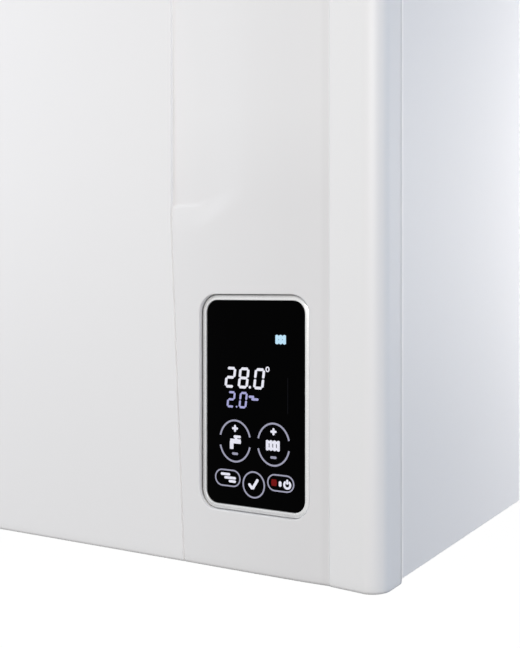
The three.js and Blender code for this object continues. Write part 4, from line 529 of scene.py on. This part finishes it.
# Grid of the cover's face: columns are close at creases and seam, rows at the fold.
BLOCK_U, BLOCK_Z = (44 * MM, 139 * MM), (34 * MM, 188 * MM)     # the cells that give way to the window's ring
CREASE_NEAR, LEFT_NEAR = 1.2 * MM, 1.5 * MM
SEAM_CLOSE = 1.4 * MM
SEAM_COLUMNS = np.array([12, 9, 6.5, 4.6, 3.2, 2.2, 1.4, 0.9, 0.75, 0.6, 0.42, 0.25, 0.1, 0, -0.1, -0.25, -0.42,
                         -0.6, -0.75, -0.9, -1.5, -2.6, -4.6, -8]) * MM
BLOCK_ROOM = 0.6 * MM
ROW_STOPS = [EDGE_R, *BLOCK_Z, 214 * MM, 268 * MM, 300 * MM, 470 * MM, HEIGHT - EDGE_R]
ROW_GAPS = [4 * MM, 3.2 * MM, 3 * MM, 0.9 * MM, 2.5 * MM, 5 * MM, 12 * MM]
SKIRT_SHARES = np.linspace(0, 1, 5)[1:]
LIP_R = 0.7 * MM
RING_SHARES = (0.3, 0.6, 0.82, 0.94)
WALL_DEPTHS = (2.4 * MM, 4.6 * MM)


def face_columns(z_rows):
    """Places across for every row, and those right of the seam that all rows share."""
    corner = CORNER_R * (1 - np.cos(np.linspace(0, math.pi / 2, 13)))
    rail = spaced([CORNER_R, RAIL_W - CREASE_NEAR, RAIL_W + CREASE_NEAR], [2.4 * MM, 0.4 * MM])
    band = spaced([RAIL_W + CREASE_NEAR, *BLOCK_U], [1.2 * MM, 2.5 * MM])
    fixed = np.concatenate([corner, rail[1:], band[1:]])
    crease = WIDTH - RAIL_W
    far = spaced([SEAM_TOP_X + 12 * MM, crease - LEFT_CREASE_W, crease - LEFT_NEAR, crease + LEFT_NEAR,
                  WIDTH - CORNER_R], [6 * MM, 2.5 * MM, 0.5 * MM, 3 * MM])
    far = np.concatenate([far, (WIDTH - corner[::-1])[1:]])
    seam = seam_place(z_rows)
    near = SEAM_COLUMNS[None, :]
    room = np.minimum(1.0, (seam - BLOCK_U[1] - BLOCK_ROOM - SEAM_CLOSE) / (SEAM_COLUMNS[0] - SEAM_CLOSE))
    near = np.where(near > SEAM_CLOSE, SEAM_CLOSE + (near - SEAM_CLOSE) * room[:, None], near)
    rows = len(z_rows)
    return np.hstack([np.tile(fixed, (rows, 1)), seam[:, None] - near, np.tile(far, (rows, 1))]), fixed


def turned_edge(base, u, sign):
    """Rows that turn the foot or top in: the edge row, pulled back and inwards on a quarter circle."""
    inwards = np.sign(base[:, 0]) * np.clip(1 - np.minimum(u, WIDTH - u) / CORNER_R, 0, 1)
    rows = []
    for angle in np.linspace(0, math.pi / 2, 6)[1:]:
        back, drop = EDGE_R * (1 - math.cos(angle)), EDGE_R * math.sin(angle)
        shift = [-inwards * back, np.full(len(u), back), np.full(len(u), sign * drop)]
        rows.append(base + np.stack(shift, axis=1))
    return rows


def window_rings(outer_uz, inner_uz):
    """Rings from the block's rim in to the window: (places, depth behind the face). A small round turns the
    window's edge, and a wall runs back from it."""
    tangent = np.roll(inner_uz, -1, axis=0) - np.roll(inner_uz, 1, axis=0)
    normal = np.stack([tangent[:, 1], -tangent[:, 0]], axis=1)
    normal /= np.linalg.norm(normal, axis=1)[:, None]
    normal *= np.sign(((inner_uz - inner_uz.mean(axis=0)) * normal).sum(axis=1))[:, None]
    lip = inner_uz + normal * LIP_R
    rings = [(outer_uz + (lip - outer_uz) * share, 0.0) for share in RING_SHARES] + [(lip, 0.0)]
    for angle in np.linspace(0, math.pi / 2, 5)[1:]:
        rings.append((lip - normal * LIP_R * math.sin(angle), LIP_R * (1 - math.cos(angle))))
    return rings + [(inner_uz, depth) for depth in WALL_DEPTHS]


def skirted_sheet(u, z):
    """Grid of the face with its turned foot and top and its skirts, and the number of rows at the foot."""
    front = np.stack([HALF - u, MAIN_Y - cover_relief(u, z), FOOT + z], axis=-1)
    low_rows = turned_edge(front[0], u[0], -1)[::-1]
    every = np.stack(low_rows + list(front) + turned_edge(front[-1], u[-1], 1))
    skirts = []
    for edge in (every[:, :1], every[:, -1:]):
        reach = (SPLIT_Y - edge[..., 1:2]) * np.array([0, 1, 0])
        skirts.append(np.concatenate([edge + reach * share for share in SKIRT_SHARES], axis=1))
    return np.concatenate([skirts[0][:, ::-1], every, skirts[1]], axis=1), len(low_rows)


def cover_sheet():
    """Skin of the front cover. Face points stand at (HALF - u, MAIN_Y - relief, z) on a grid whose columns
    follow the seam; the block of cells round the display gives way to a ring of cells that ends on the window's
    rounded rectangle; skirts run straight back at the sides, and the foot and top turn in on a small radius."""
    z_rows = spaced(ROW_STOPS, ROW_GAPS)
    u, fixed = face_columns(z_rows)
    sheet, low_count = skirted_sheet(u, np.repeat(z_rows[:, None], u.shape[1], axis=1))
    rows, total = sheet.shape[:2]
    index = np.arange(rows * total).reshape(rows, total)
    quads = np.stack([index[:-1, :-1], index[:-1, 1:], index[1:, 1:], index[1:, :-1]], axis=-1)

    # the block of cells that gives way to the window's ring
    lead = len(SKIRT_SHARES)
    first_u, last_u = (lead + int(np.argmin(np.abs(fixed - place))) for place in BLOCK_U)
    first_z, last_z = (low_count + int(np.argmin(np.abs(z_rows - place))) for place in BLOCK_Z)
    last_u -= (last_u - first_u) % 2
    last_z -= (last_z - first_z) % 2
    keep = np.ones((rows - 1, total - 1), bool)
    keep[first_z:last_z, first_u:last_u] = False
    faces = quads[keep].tolist()
    points = sheet.reshape(-1, 3).tolist()

    def add_row(last, row, closed):
        """Add points and the quads that join them to the last row; give back their numbers."""
        here = np.arange(len(points), len(points) + len(row))
        points.extend(row.tolist())
        faces.extend(join(last, here, closed))
        return here

    last = np.array([r * total + c for c, r in block_rim(first_u, last_u, first_z, last_z)])
    outer_uz = np.array([[HALF - points[k][0], points[k][2] - FOOT] for k in last])
    for uz, depth in window_rings(outer_uz, window_outline(last_u - first_u, last_z - first_z)):
        level = MAIN_Y - cover_relief(uz[:, 0], uz[:, 1]) + depth
        last = add_row(last, np.stack([HALF - uz[:, 0], level, FOOT + uz[:, 1]], axis=1), True)

    # foot and top flanges, level, from the turned edge back to the split
    for row in (0, rows - 1):
        last = np.arange(lead, total - lead) + row * total
        start = np.array([points[k] for k in last])
        for share in SKIRT_SHARES:
            ring = start.copy()
            ring[:, 1] += (SPLIT_Y - ring[:, 1]) * share
            last = add_row(last, ring, False)
    piece = mesh_object("cover_skin", points, faces, "white_paint")
    merge_doubles(piece)
    return piece


cover = cover_sheet()
skin = cover.modifiers.new("thickness", "SOLIDIFY")
skin.thickness = SKIN
skin.offset = -1.0
skin.use_even_offset = False
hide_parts("front_cover")
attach(cover, "cover")


# ------------------------------------------------------------------ display: trim ring, glass and lit marks
def rounded_outline(half_u, half_z, radius, steps=10):
    """Counter-clockwise points of a rounded rectangle about its own middle: quarter circles at the corners."""
    angle = np.linspace(0, math.pi / 2, steps)
    arc = np.stack([np.cos(angle), np.sin(angle)], axis=1) * radius
    corners = [(half_u - radius, half_z - radius, 0), (radius - half_u, half_z - radius, 1),
               (radius - half_u, radius - half_z, 2), (half_u - radius, radius - half_z, 3)]
    parts = []
    for cu, cz, turn in corners:
        c, s = math.cos(turn * math.pi / 2), math.sin(turn * math.pi / 2)
        parts.append(arc @ np.array([[c, s], [-s, c]]) + [cu, cz])
    return np.concatenate(parts)


def stacked_rings(name, rings, slot, capped):
    """Bands between rounded outlines about the display's middle: each ring is (half width, half height, radius,
    y). Capped, the first and last rings close with a fan; otherwise the last ring joins the first."""
    points, faces = [], []
    for half_u, half_z, radius, y in rings:
        flat = rounded_outline(half_u, half_z, radius)
        points.extend(np.stack([DISPLAY[0] + flat[:, 0], np.full(len(flat), y), DISPLAY[1] + flat[:, 1]],
                               axis=1).tolist())
    index = np.arange(len(points)).reshape(len(rings), -1)
    for first, second in zip(index[:-1], index[1:]):
        faces.extend(join(first, second))
    if not capped:
        faces.extend(join(index[-1], index[0]))
    for row in (0, -1) if capped else ():
        faces.extend([int(a), int(b), len(points)] for a, b in zip(index[row], np.roll(index[row], -1)))
        points.append([DISPLAY[0], rings[row][3], DISPLAY[1]])
    piece = mesh_object(name, points, faces, slot)
    merge_doubles(piece, FINE_PLACE)
    return piece


BEZEL_FALL, BEZEL_EDGE, BEZEL_CREST = 1.1 * MM, 0.3 * MM, 0.5 * MM
CREST_START = math.radians(-20)
GLASS_SOFT = 0.5 * MM


def bezel_ring():
    """Trim ring round the glass: its face rises from a low outer edge to a rounded crest beside the glass. The
    section is carried round a rounded rectangle."""
    front, back = BEZEL_LOW.y, BEZEL_HIGH.y
    section = [(0, BEZEL_FALL + BEZEL_EDGE), (BEZEL_EDGE, BEZEL_FALL)]
    section += [(BEZEL_RIM - BEZEL_CREST * (1 - math.sin(angle)), BEZEL_CREST * (1 - math.cos(angle)))
                for angle in np.linspace(CREST_START, math.pi / 2, 7)]
    rings = [(BEZEL_U, BEZEL_Z, BEZEL_R, back)]
    rings += [(BEZEL_U - pull, BEZEL_Z - pull, BEZEL_R - pull, front + depth) for pull, depth in section]
    rings.append((BEZEL_U - BEZEL_RIM, BEZEL_Z - BEZEL_RIM, BEZEL_R - BEZEL_RIM, back))
    piece = stacked_rings("bezel_ring", rings, "silver_trim", capped=False)
    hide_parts("display_bezel")
    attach(piece, "control")


def glass_plate():
    """Touch glass: a flat plate with a small round along its front edge."""
    front, back = GLASS_LOW.y, GLASS_HIGH.y
    rings = [(GLASS_U, GLASS_Z, GLASS_R, back), (GLASS_U, GLASS_Z, GLASS_R, front + GLASS_SOFT)]
    for angle in np.linspace(0, math.pi / 2, 4)[1:]:
        pull, depth = GLASS_SOFT * (1 - math.cos(angle)), GLASS_SOFT * (1 - math.sin(angle))
        rings.append((GLASS_U - pull, GLASS_Z - pull, GLASS_R - pull, front + depth))
    piece = stacked_rings("glass_plate", rings, "display_glass", capped=True)
    edge = piece.modifiers.new("edges", "EDGE_SPLIT")
    edge.split_angle = math.radians(30)
    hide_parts("touch_glass")
    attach(piece, "control")


bezel_ring()
glass_plate()

WHITE_LIGHT = glow("white segments", (0.86, 0.86, 0.95))
SOFT_LIGHT = glow("soft segments", (0.42, 0.42, 0.72))
KEY_LIGHT = glow("key rings", (0.36, 0.36, 0.47))
BLUE_LIGHT = glow("blue sign", (0.55, 0.82, 1.0))
RED_LIGHT = glow("red sign", (0.18, 0.004, 0.004))
SIGN_LIGHT = glow("key signs", (0.84, 0.84, 0.95))
FRAME_LINE = glow("window edge", (0.004, 0.004, 0.007))
MARK_FRONT = GLASS_LOW.y - 0.12 * MM
MARK_BACK = GLASS_LOW.y + 0.1 * MM


def plate_points(outline):
    """World points of a flat outline given as (distance from the right side plane, height), in millimetres."""
    flat = np.asarray(outline, float) * MM
    return np.stack([HALF - flat[:, 0], np.zeros(len(flat)), FOOT + flat[:, 1]], axis=1)


def marks(name, outlines, material):
    """Thin raised plates on the glass, one per closed outline: a front face, a back face and the walls."""
    points, faces = [], []
    for outline in outlines:
        ring = plate_points(outline)
        area = np.sum(ring[:, 0] * np.roll(ring[:, 2], -1) - np.roll(ring[:, 0], -1) * ring[:, 2])
        if area < 0:
            ring = ring[::-1]
        count, start = len(ring), len(points)
        for y in (MARK_FRONT, MARK_BACK):
            ring[:, 1] = y
            points.extend(ring.tolist())
        faces.append([start + k for k in range(count)])
        faces.append([start + 2 * count - 1 - k for k in range(count)])
        near = np.arange(count) + start
        turned = np.roll(near, -1)
        faces.extend(np.stack([near, near + count, turned + count, turned], axis=1).tolist())
    piece = mesh_object(name, points, faces, "display_glass", smooth=False, material=material)
    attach(piece, "control")


def bar(a, b, width, tip=0.35):
    """Outline of a bar from a to b with ends drawn in to a blunt point."""
    a, b = np.array(a, float), np.array(b, float)
    along = (b - a) / np.linalg.norm(b - a)
    side = np.array([-along[1], along[0]]) * width / 2
    return [a + side + along * width * tip, a, a - side + along * width * tip,
            b - side - along * width * tip, b, b + side - along * width * tip]


SEGMENTS = {"0": "abcdef", "2": "abged", "8": "abcdefg"}
SLANT = 0.12                        # of the height, to the right
BAR_TRIM = 0.12                     # of the stroke, off each end


def digit(character, left, low, width, height, stroke):
    """Bars of one seven-segment figure that starts at left and runs to the right."""
    half = height / 2
    ends = {"a": ((0, height), (width, height)), "b": ((width, height), (width, half)),
            "c": ((width, half), (width, 0)), "d": ((0, 0), (width, 0)), "e": ((0, half), (0, 0)),
            "f": ((0, height), (0, half)), "g": ((0, half), (width, half))}
    shapes = []
    for key in SEGMENTS[character]:
        a, b = np.array(ends[key][0]), np.array(ends[key][1])
        trim = (b - a) / np.linalg.norm(b - a) * stroke * BAR_TRIM
        outline = np.array(bar(a + trim, b - trim, stroke))
        shapes.append(np.stack([left - outline[:, 0] - SLANT * outline[:, 1], low + outline[:, 1]], axis=1))
    return shapes


def disc(u, z, radius, count):
    angle = np.linspace(0, 2 * math.pi, count, endpoint=False)
    return np.stack([u + radius * np.cos(angle), z + radius * np.sin(angle)], axis=1)


def arc_band(u, z, half_u, half_z, stroke, start=0, end=359.9, count=40):
    """A stroke along part of an ellipse, between two angles in degrees."""
    angle = np.radians(np.linspace(start, end, count))
    spin = np.stack([np.cos(angle), np.sin(angle)], axis=1)
    outer = spin * [half_u + stroke / 2, half_z + stroke / 2] + [u, z]
    inner = spin * [half_u - stroke / 2, half_z - stroke / 2] + [u, z]
    return np.concatenate([outer, inner[::-1]])


def capsule(u, z, half_u, half_z, stroke):
    """A pill-shaped stroke as two halves of a rounded rectangle."""
    outer = rounded_outline(half_u + stroke / 2, half_z + stroke / 2, half_z + stroke / 2, 8)
    inner = rounded_outline(half_u - stroke / 2, half_z - stroke / 2, half_z - stroke / 2, 8)
    count = len(outer) // 2
    halves = []
    for start in (0, count):
        pick = np.arange(start, start + count + 1) % len(outer)
        halves.append(np.concatenate([outer[pick], inner[pick][::-1]]) + [u, z])
    return halves


def heater(u, z, bars, pitch, height, width, rail):
    """A radiator sign about a middle: upright bars side by side, joined by a rail above and one below."""
    half = (bars - 1) * pitch / 2
    shapes = [bar((u + half - pitch * k, z - height / 2), (u + half - pitch * k, z + height / 2), width, 0.2)
              for k in range(bars)]
    reach = half + width / 2
    for side in (-1, 1):
        level = z + side * (height / 2 - rail)
        shapes.append(bar((u + reach, level), (u - reach, level), rail, 0.1))
    return shapes


# Signs on the glass, all in millimetres: distance from the right side plane, height above the cover's foot.
LARGE = {"low": 120.4, "width": 6.0, "height": 12.0, "stroke": 1.8}
LARGE_FIGURES = (("2", 114.3), ("8", 104.1), ("0", 92.3))
LARGE_POINT, DEGREE = (95.6, 120.6, 0.9, 12), (82.3, 132.8, 1.1, 1.4, 0.8)
SMALL = {"low": 107.2, "width": 4.6, "height": 9.4, "stroke": 1.4}
SMALL_FIGURES = (("2", 112.9), ("0", 103.6))
SMALL_POINT = (105.8, 107.3, 0.6, 10)
UNIT_BARS = [((96.6, 114.4), (92.2, 114.4), 1.6), ((94.6, 112.9), (89.0, 112.9), 1.6)]
TOP_HEATER = {"u": 72.6, "z": 152.2, "bars": 3, "pitch": 2.7, "height": 6.2, "width": 2.3, "rail": 1.8}
KEY_HEATER = {"u": 78.4, "z": 84.0, "bars": 4, "pitch": 2.7, "height": 7.0, "width": 2.1, "rail": 1.5}
ROUND_KEYS = (107.0, 77.9)
ROUND_KEY = (84.7, 11.7, 13.5, 1.15)            # height, half width, half height, stroke
UPPER_ARC, LOWER_ARC = (14, 166), (194, 346)
MINUS_Z, MINUS_STROKE = 76.4, 1.6
PLUS_Z, PLUS_STROKE = 93.0, 1.5
SIGN_REACH = 2.4
TAP_BARS = [((110.8, 84.6), (102.4, 84.6), 3.0, 0.1), ((109.6, 84.6), (109.6, 79.2), 2.8, 0.1),
            ((106.2, 84.6), (106.2, 87.6), 2.0, 0.1), ((108.2, 87.6), (102.4, 87.6), 1.8)]
PILL_KEYS = [(112.7, 60.0, 9.5, 5.2, 0.9), (72.6, 60.4, 9.5, 5.1, 0.9)]
TICK_KEY = (92.7, 57.4, 8.0, 8.3, 1.0)
LIST_BARS = [((118.2, 62.4), (110.6, 62.4), 1.7), ((115.4, 60.2), (106.2, 60.2), 1.7),
             ((112.0, 58.0), (106.2, 58.0), 1.7)]
TICK_BARS = [((96.6, 58.0), (93.4, 54.4), 1.9), ((93.8, 54.4), (89.4, 61.4), 1.9)]
POWER_ARC = (67.8, 59.8, 2.2, 2.2, 1.5, 120, 420, 24)
POWER_BARS = [((67.8, 60.0), (67.8, 63.4), 1.5), ((73.0, 58.0), (73.0, 61.9), 2.0)]
RED_BAR = ((79.6, 60.4), (75.4, 60.4), 4.2, 0.1)
WINDOW_LINE = ((67.4, 105.0), (67.4, 128.0), 0.3, 0.1)


def bars(rows):
    return [bar(*row) for row in rows]


def display_marks():
    """Generic signs in the places that the real display gives them."""
    figures = [shape for character, left in LARGE_FIGURES for shape in digit(character, left, **LARGE)]
    figures += [disc(*LARGE_POINT), arc_band(*DEGREE, count=28)]
    marks("temperature_figures", figures, WHITE_LIGHT)
    figures = [shape for character, left in SMALL_FIGURES for shape in digit(character, left, **SMALL)]
    marks("pressure_figures", figures + [disc(*SMALL_POINT)] + bars(UNIT_BARS), SOFT_LIGHT)
    marks("heating_sign", heater(**TOP_HEATER), BLUE_LIGHT)

    rings, signs = [], []
    level, half_u, half_z, stroke = ROUND_KEY
    for u in ROUND_KEYS:
        rings += [arc_band(u, level, half_u, half_z, stroke, *ends) for ends in (UPPER_ARC, LOWER_ARC)]
        rings.append(bar((u - SIGN_REACH, MINUS_Z), (u + SIGN_REACH, MINUS_Z), MINUS_STROKE))
        signs += bars([((u - SIGN_REACH, PLUS_Z), (u + SIGN_REACH, PLUS_Z), PLUS_STROKE),
                       ((u, PLUS_Z - SIGN_REACH), (u, PLUS_Z + SIGN_REACH), PLUS_STROKE)])
    marks("key_rings", rings, KEY_LIGHT)
    marks("key_signs", signs + bars(TAP_BARS) + heater(**KEY_HEATER), SIGN_LIGHT)

    pills = [half for key in PILL_KEYS for half in capsule(*key)]
    marks("lower_keys", pills + [arc_band(*TICK_KEY, count=56)], KEY_LIGHT)
    marks("lower_signs", bars(LIST_BARS + TICK_BARS) + [arc_band(*POWER_ARC)] + bars(POWER_BARS), SIGN_LIGHT)
    marks("red_mark", [bar(*RED_BAR)], RED_LIGHT)
    marks("window_edge", [bar(*WINDOW_LINE)], FRAME_LINE)


display_marks()

# ------------------------------------------------------------------ finishes of the carried-over nodes
SOFT_EDGE = 0.35 * MM
CREASE_ANGLE = math.radians(38)
for name, node in NODES.items():
    if node.hide_render:
        continue
    material = FINISHES[SLOT_OF[name]]
    if not node.material_slots:
        node.data.materials.append(material)
    for place in node.material_slots:
        place.material = material
    weld = node.modifiers.new("weld", "WELD")
    weld.merge_threshold = SAME_PLACE
    round_edge = node.modifiers.new("soft edge", "BEVEL")
    round_edge.width = SOFT_EDGE
    round_edge.segments = 1
    round_edge.limit_method = "ANGLE"
    round_edge.angle_limit = CREASE_ANGLE
    round_edge.use_clamp_overlap = True
    node.data.polygons.foreach_set("use_smooth", [True] * len(node.data.polygons))
    split = node.modifiers.new("crisp", "EDGE_SPLIT")
    split.split_angle = CREASE_ANGLE
    split.use_edge_sharp = False


# ------------------------------------------------------------------ floor, backdrop and lights
FLOOR_DROP = 0.9
FLOOR_HALF = 4.0
FLOOR_TONE = 0.22
FLOOR_WHITE = 0.96
SOFT_WORLD = 0.144


def seen_directly(tree):
    """1 for rays from the camera and for those seen in gloss or glass, otherwise 0."""
    rays = tree.nodes.new("ShaderNodeLightPath")
    result = rays.outputs["Is Camera Ray"]
    for kind in ("Is Glossy Ray", "Is Transmission Ray"):
        result = reckon(tree.nodes, tree.links, "MAXIMUM", result, rays.outputs[kind])
    return result


def backdrop_material():
    """Pale floor that takes a shadow; a share of plain white is added where it is seen directly, so it shows
    white away from the shadow."""
    material, tree, shader = new_material("white backdrop")
    shader.inputs["Base Color"].default_value = (FLOOR_TONE, FLOOR_TONE, FLOOR_TONE, 1)
    shader.inputs["Roughness"].default_value = 1.0
    shader.inputs["Specular IOR Level"].default_value = 0.0
    out = next(node for node in tree.nodes if node.type == "OUTPUT_MATERIAL")
    white = tree.nodes.new("ShaderNodeEmission")
    white.inputs["Strength"].default_value = FLOOR_WHITE
    tree.links.new(seen_directly(tree), white.inputs["Color"])
    added = tree.nodes.new("ShaderNodeAddShader")
    tree.links.new(shader.outputs[0], added.inputs[0])
    tree.links.new(white.outputs[0], added.inputs[1])
    tree.links.new(added.outputs[0], out.inputs[0])
    return material


def make_stage():
    """A plain level square well below the boiler."""
    half, level = FLOOR_HALF, FOOT - FLOOR_DROP
    floor = bpy.data.meshes.new("floor")
    corners = [(-half, -half, level), (half, -half, level), (half, half, level), (-half, half, level)]
    floor.from_pydata(corners, [], [(0, 1, 2, 3)])
    floor.materials.append(backdrop_material())
    piece = bpy.data.objects.new("floor", floor)
    bpy.context.scene.collection.objects.link(piece)


def area_light(name, place, target, size, power, colour, in_gloss):
    data = bpy.data.lights.new(name, "AREA")
    data.shape = "RECTANGLE"
    data.size = size
    data.size_y = size
    data.energy = power
    data.color = colour
    lamp = bpy.data.objects.new(name, data)
    lamp.location = place
    lamp.visible_glossy = in_gloss
    lamp.rotation_euler = (Vector(target) - Vector(place)).to_track_quat("-Z", "Y").to_euler()
    bpy.context.scene.collection.objects.link(lamp)


def make_world():
    """Soft even studio light; what is seen directly, or in gloss or glass, is white."""
    world = bpy.data.worlds.new("studio")
    world.use_nodes = True
    bpy.context.scene.world = world
    tree = world.node_tree
    tree.nodes.clear()
    out = tree.nodes.new("ShaderNodeOutputWorld")
    mix = tree.nodes.new("ShaderNodeMixShader")
    tree.links.new(seen_directly(tree), mix.inputs[0])
    for socket, strength in ((1, SOFT_WORLD), (2, 1.0)):
        light = tree.nodes.new("ShaderNodeBackground")
        light.inputs["Color"].default_value = (1, 1, 1, 1)
        light.inputs["Strength"].default_value = strength
        tree.links.new(light.outputs[0], mix.inputs[socket])
    tree.links.new(mix.outputs[0], out.inputs[0])


MIDDLE = (0.05, -0.25, -0.35)
# name, place, what it faces, size, watts, colour, seen in gloss
LAMPS = (
    ("front right", (1.26, -2.34, 0.30), MIDDLE, 1.2, 43.0, (1.0, 0.975, 0.93), True),
    ("far left", (-2.22, -1.08, 0.30), MIDDLE, 1.2, 14.0, (0.62, 0.86, 1.0), False),
    ("left", (-0.7, -1.0, -0.2), (-0.1, -0.29, -0.3), 0.5, 3.6, (1.0, 0.97, 1.0), False),
    ("right", (2.46, -0.46, 0.30), MIDDLE, 1.2, 8.0, (0.2, 0.5, 1.0), False),
    ("behind right", (0.55, 0.35, -0.35), (0.205, -0.02, -0.38), 0.4, 2.7, (1.0, 0.95, 0.9), False),
)
make_camera()
make_stage()
make_world()
for lamp_row in LAMPS:
    area_light(*lamp_row)
bpy.context.scene.view_settings.view_transform = "Standard"
